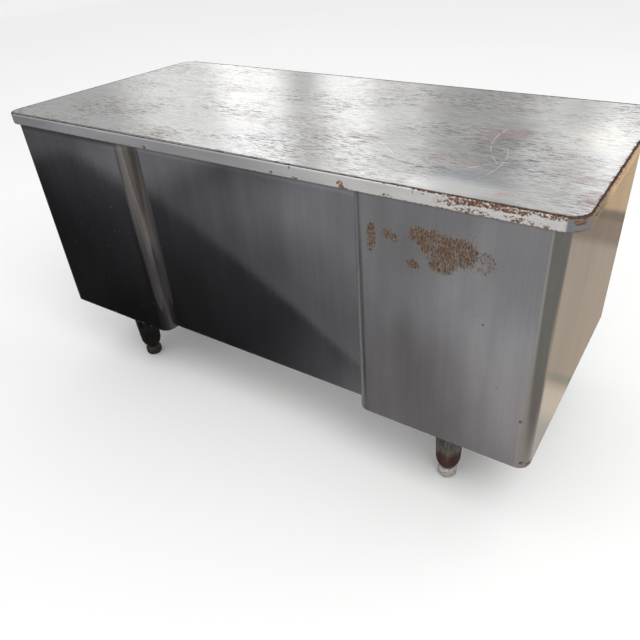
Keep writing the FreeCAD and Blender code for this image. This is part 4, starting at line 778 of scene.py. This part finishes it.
def floor_card(g):
    """What the sheets mirror near the floor: dark beside the desk on the left, lighter towards the right, warm at the right end."""
    x, y, z = g.split()
    edge = g.sub(y, g.add(-0.665, g.mul(x, 0.46), g.mul(x, x, 0.03)))
    out = g.mul(edge, -1.0)
    dark = g.mul(g.step(edge, -0.008, 0.008), g.step(x, 0.0, 0.25, 1.0, 0.0), g.step(y, -0.47, -0.36, 1.0, 0.0))
    light = g.add(
        0.13,
        g.mul(g.step(out, 0.05, 0.50), g.step(x, -1.5, -0.7), 0.17),
        g.mul(g.step(x, -2.9, -2.2), g.step(x, -1.9, -1.4, 1.0, 0.0), 0.13),
        g.mul(g.step(x, -0.2, 0.2), 0.05), g.mul(g.step(x, -0.6, -0.3), g.step(y, -1.3, -0.9), 0.03),
    )
    run = g.add(x, g.mul(g.add(y, 0.6), -0.95))
    light = g.lerp(g.step(x, 0.0, 0.2), light, g.sub(g.add(0.222, g.mul(g.step(run, 0.36, 0.76), 0.250)), g.mul(g.step(run, 0.84, 1.25), 0.085)))
    far_out = g.step(y, -1.15, -1.02, 1.0, 0.0)
    light = g.add(light, g.mul(g.step(x, 0.20, 0.28), far_out, -0.030), g.mul(g.step(x, 0.42, 0.57), g.inv(far_out), 0.055))
    deep = g.add(0.012, g.mul(g.step(x, -1.15, -0.72, 1.0, 0.0), 0.0085), g.mul(g.step(edge, 0.0, 0.52, 1.0, 0.0), g.add(0.034, g.mul(g.step(x, -2.2, -1.4, 1.0, 0.0), 0.018))), g.mul(g.step(x, -0.3, 0.1), 0.05), g.mul(g.step(x, -2.85, -2.45, 1.0, 0.0), 0.07))
    front = g.lerp(dark, light, deep)
    under = g.mul(g.step(y, -0.50, -0.42), g.step(x, 0.62, 0.70, 1.0, 0.0))
    front = g.lerp(g.mul(under, g.inv(dark)), front, 0.13)
    beside = g.mul(g.step(y, -0.47, -0.36), g.step(x, -0.86, -0.74, 1.0, 0.0))
    front = g.lerp(beside, front, g.add(0.20, g.mul(g.step(x, -2.6, -0.9, 1.0, 0.0), 0.16), g.mul(g.step(y, -0.3, 0.6), 0.06)))
    behind = g.mul(g.step(y, 0.36, 0.75), g.step(x, 0.62, 0.70, 1.0, 0.0))
    front = g.lerp(behind, front, g.add(0.30, g.mul(g.step(x, -0.9, 0.5), 0.08), g.mul(g.step(y, 1.1, 1.9), 0.12)))
    warm = g.mix(g.step(y, 1.10, 1.22), (0.475, 0.405, 0.33), (0.33, 0.262, 0.208))
    near_end = g.mul(g.step(y, 0.15, 0.23, 1.0, 0.0), g.step(x, 0.83, 0.87, 1.0, 0.0))
    warm = g.mix(near_end, warm, (0.70, 0.62, 0.51))
    warm = g.mix(g.mul(g.step(y, 1.38, 1.42), g.step(y, 1.48, 1.50, 1.0, 0.0), 0.40), warm, (0.17, 0.135, 0.108))
    streak = g.mul(g.step(g.math("ABSOLUTE", g.sub(y, 0.235)), 0.004, 0.035, 1.0, 0.0), g.step(x, 0.82, 0.86, 1.0, 0.0))
    warm = g.mix(streak, warm, (0.36, 0.36, 0.285))
    warm = g.mix(g.step(y, 1.49, 1.54), warm, (0.62, 0.455, 0.295))
    on_right = g.mul(g.step(x, 0.72, 0.74), g.step(y, -0.12, 0.0))
    color = g.mix(on_right, g.grey(front, (1.0, 1.0, 1.03)), warm)
    corner = g.mul(g.step(x, 0.68, 0.76), g.step(y, 0.0, 0.10, 1.0, 0.0))
    corner = g.mx(corner, g.step(x, 1.10, 1.60))
    corner_value = g.grey(g.add(0.26, g.mul(g.step(x, 0.82, 1.10, 1.0, 0.0), 0.23)), (1.0, 0.965, 0.87))
    color = g.mix(g.mul(corner, g.step(y, 1.2, 1.6, 1.0, 0.0)), color, corner_value)
    return color, 1.0


card = plane("card_floor", -9, 9, -9, 9, 0.0015)
card.data.materials.append(card_material("card_floor_light", floor_card))
only_glossy(card)


def dome(name, radius, build, segments=48, rings=14):
    verts, faces = [], []
    for j in range(rings + 1):
        el = math.radians(-6 + 96 * j / rings)
        for i in range(segments):
            a = 2 * math.pi * i / segments
            verts.append((radius * math.cos(el) * math.cos(a), radius * math.cos(el) * math.sin(a), radius * math.sin(el)))
    for j in range(rings):
        for i in range(segments):
            k = (i + 1) % segments
            faces.append((j * segments + i, j * segments + k, (j + 1) * segments + k, (j + 1) * segments + i))
    me = bpy.data.meshes.new(name)
    me.from_pydata(verts, [], faces)
    o = bpy.data.objects.new(name, me)
    scene.collection.objects.link(o)
    o.data.materials.append(card_material(name + "_light", build))
    only_glossy(o)
    return o


def dome_light(g):
    x, y, z = g.split()
    az = g.mul(g.math("ARCTAN2", x, y), 180 / math.pi)  # degrees from +Y towards +X
    value = g.step(z, 0.0, 6.5, 0.46, 0.62)
    for a, w, e in ((-50.0, 5.0, 0.45), (-42.0, 3.4, 0.85), (-31.6, 3.2, 0.80), (-25.0, 2.4, 0.35), (-8.8, 2.5, 0.30), (-1.5, 3.0, 0.62), (8.0, 4.0, 0.45)):
        d = g.math("ABSOLUTE", g.math("SUBTRACT", az, a))
        value = g.add(value, g.mul(g.step(d, w * 0.5, w * 1.6, 1.0, 0.0), e))
    dim = g.math("ABSOLUTE", g.math("SUBTRACT", az, -15.0))
    value = g.sub(value, g.mul(g.step(dim, 3.0, 8.0, 1.0, 0.0), 0.05))
    return g.grey(value, (1.0, 1.0, 0.99)), 1.0


dome("card_dome", 7.0, dome_light)

world = bpy.data.worlds.new("studio")
scene.world = world
world.use_nodes = True
world.node_tree.nodes["Background"].inputs[0].default_value = (1, 1, 1, 1)
world.node_tree.nodes["Background"].inputs[1].default_value = 1.0


def area(name, place, at, size, power, color=(1, 1, 1)):
    d = bpy.data.lights.new(name, "AREA")
    d.shape = "DISK"
    d.size = size
    d.energy = power
    d.color = color
    o = bpy.data.objects.new(name, d)
    scene.collection.objects.link(o)
    o.location = place
    o.rotation_euler = (Vector(at) - Vector(place)).to_track_quat("-Z", "Y").to_euler()
    return o


key = area("key_soft", (2.4, -1.4, 3.4), (0.2, 0, 0.4), 2.4, 60)
key.visible_glossy = False
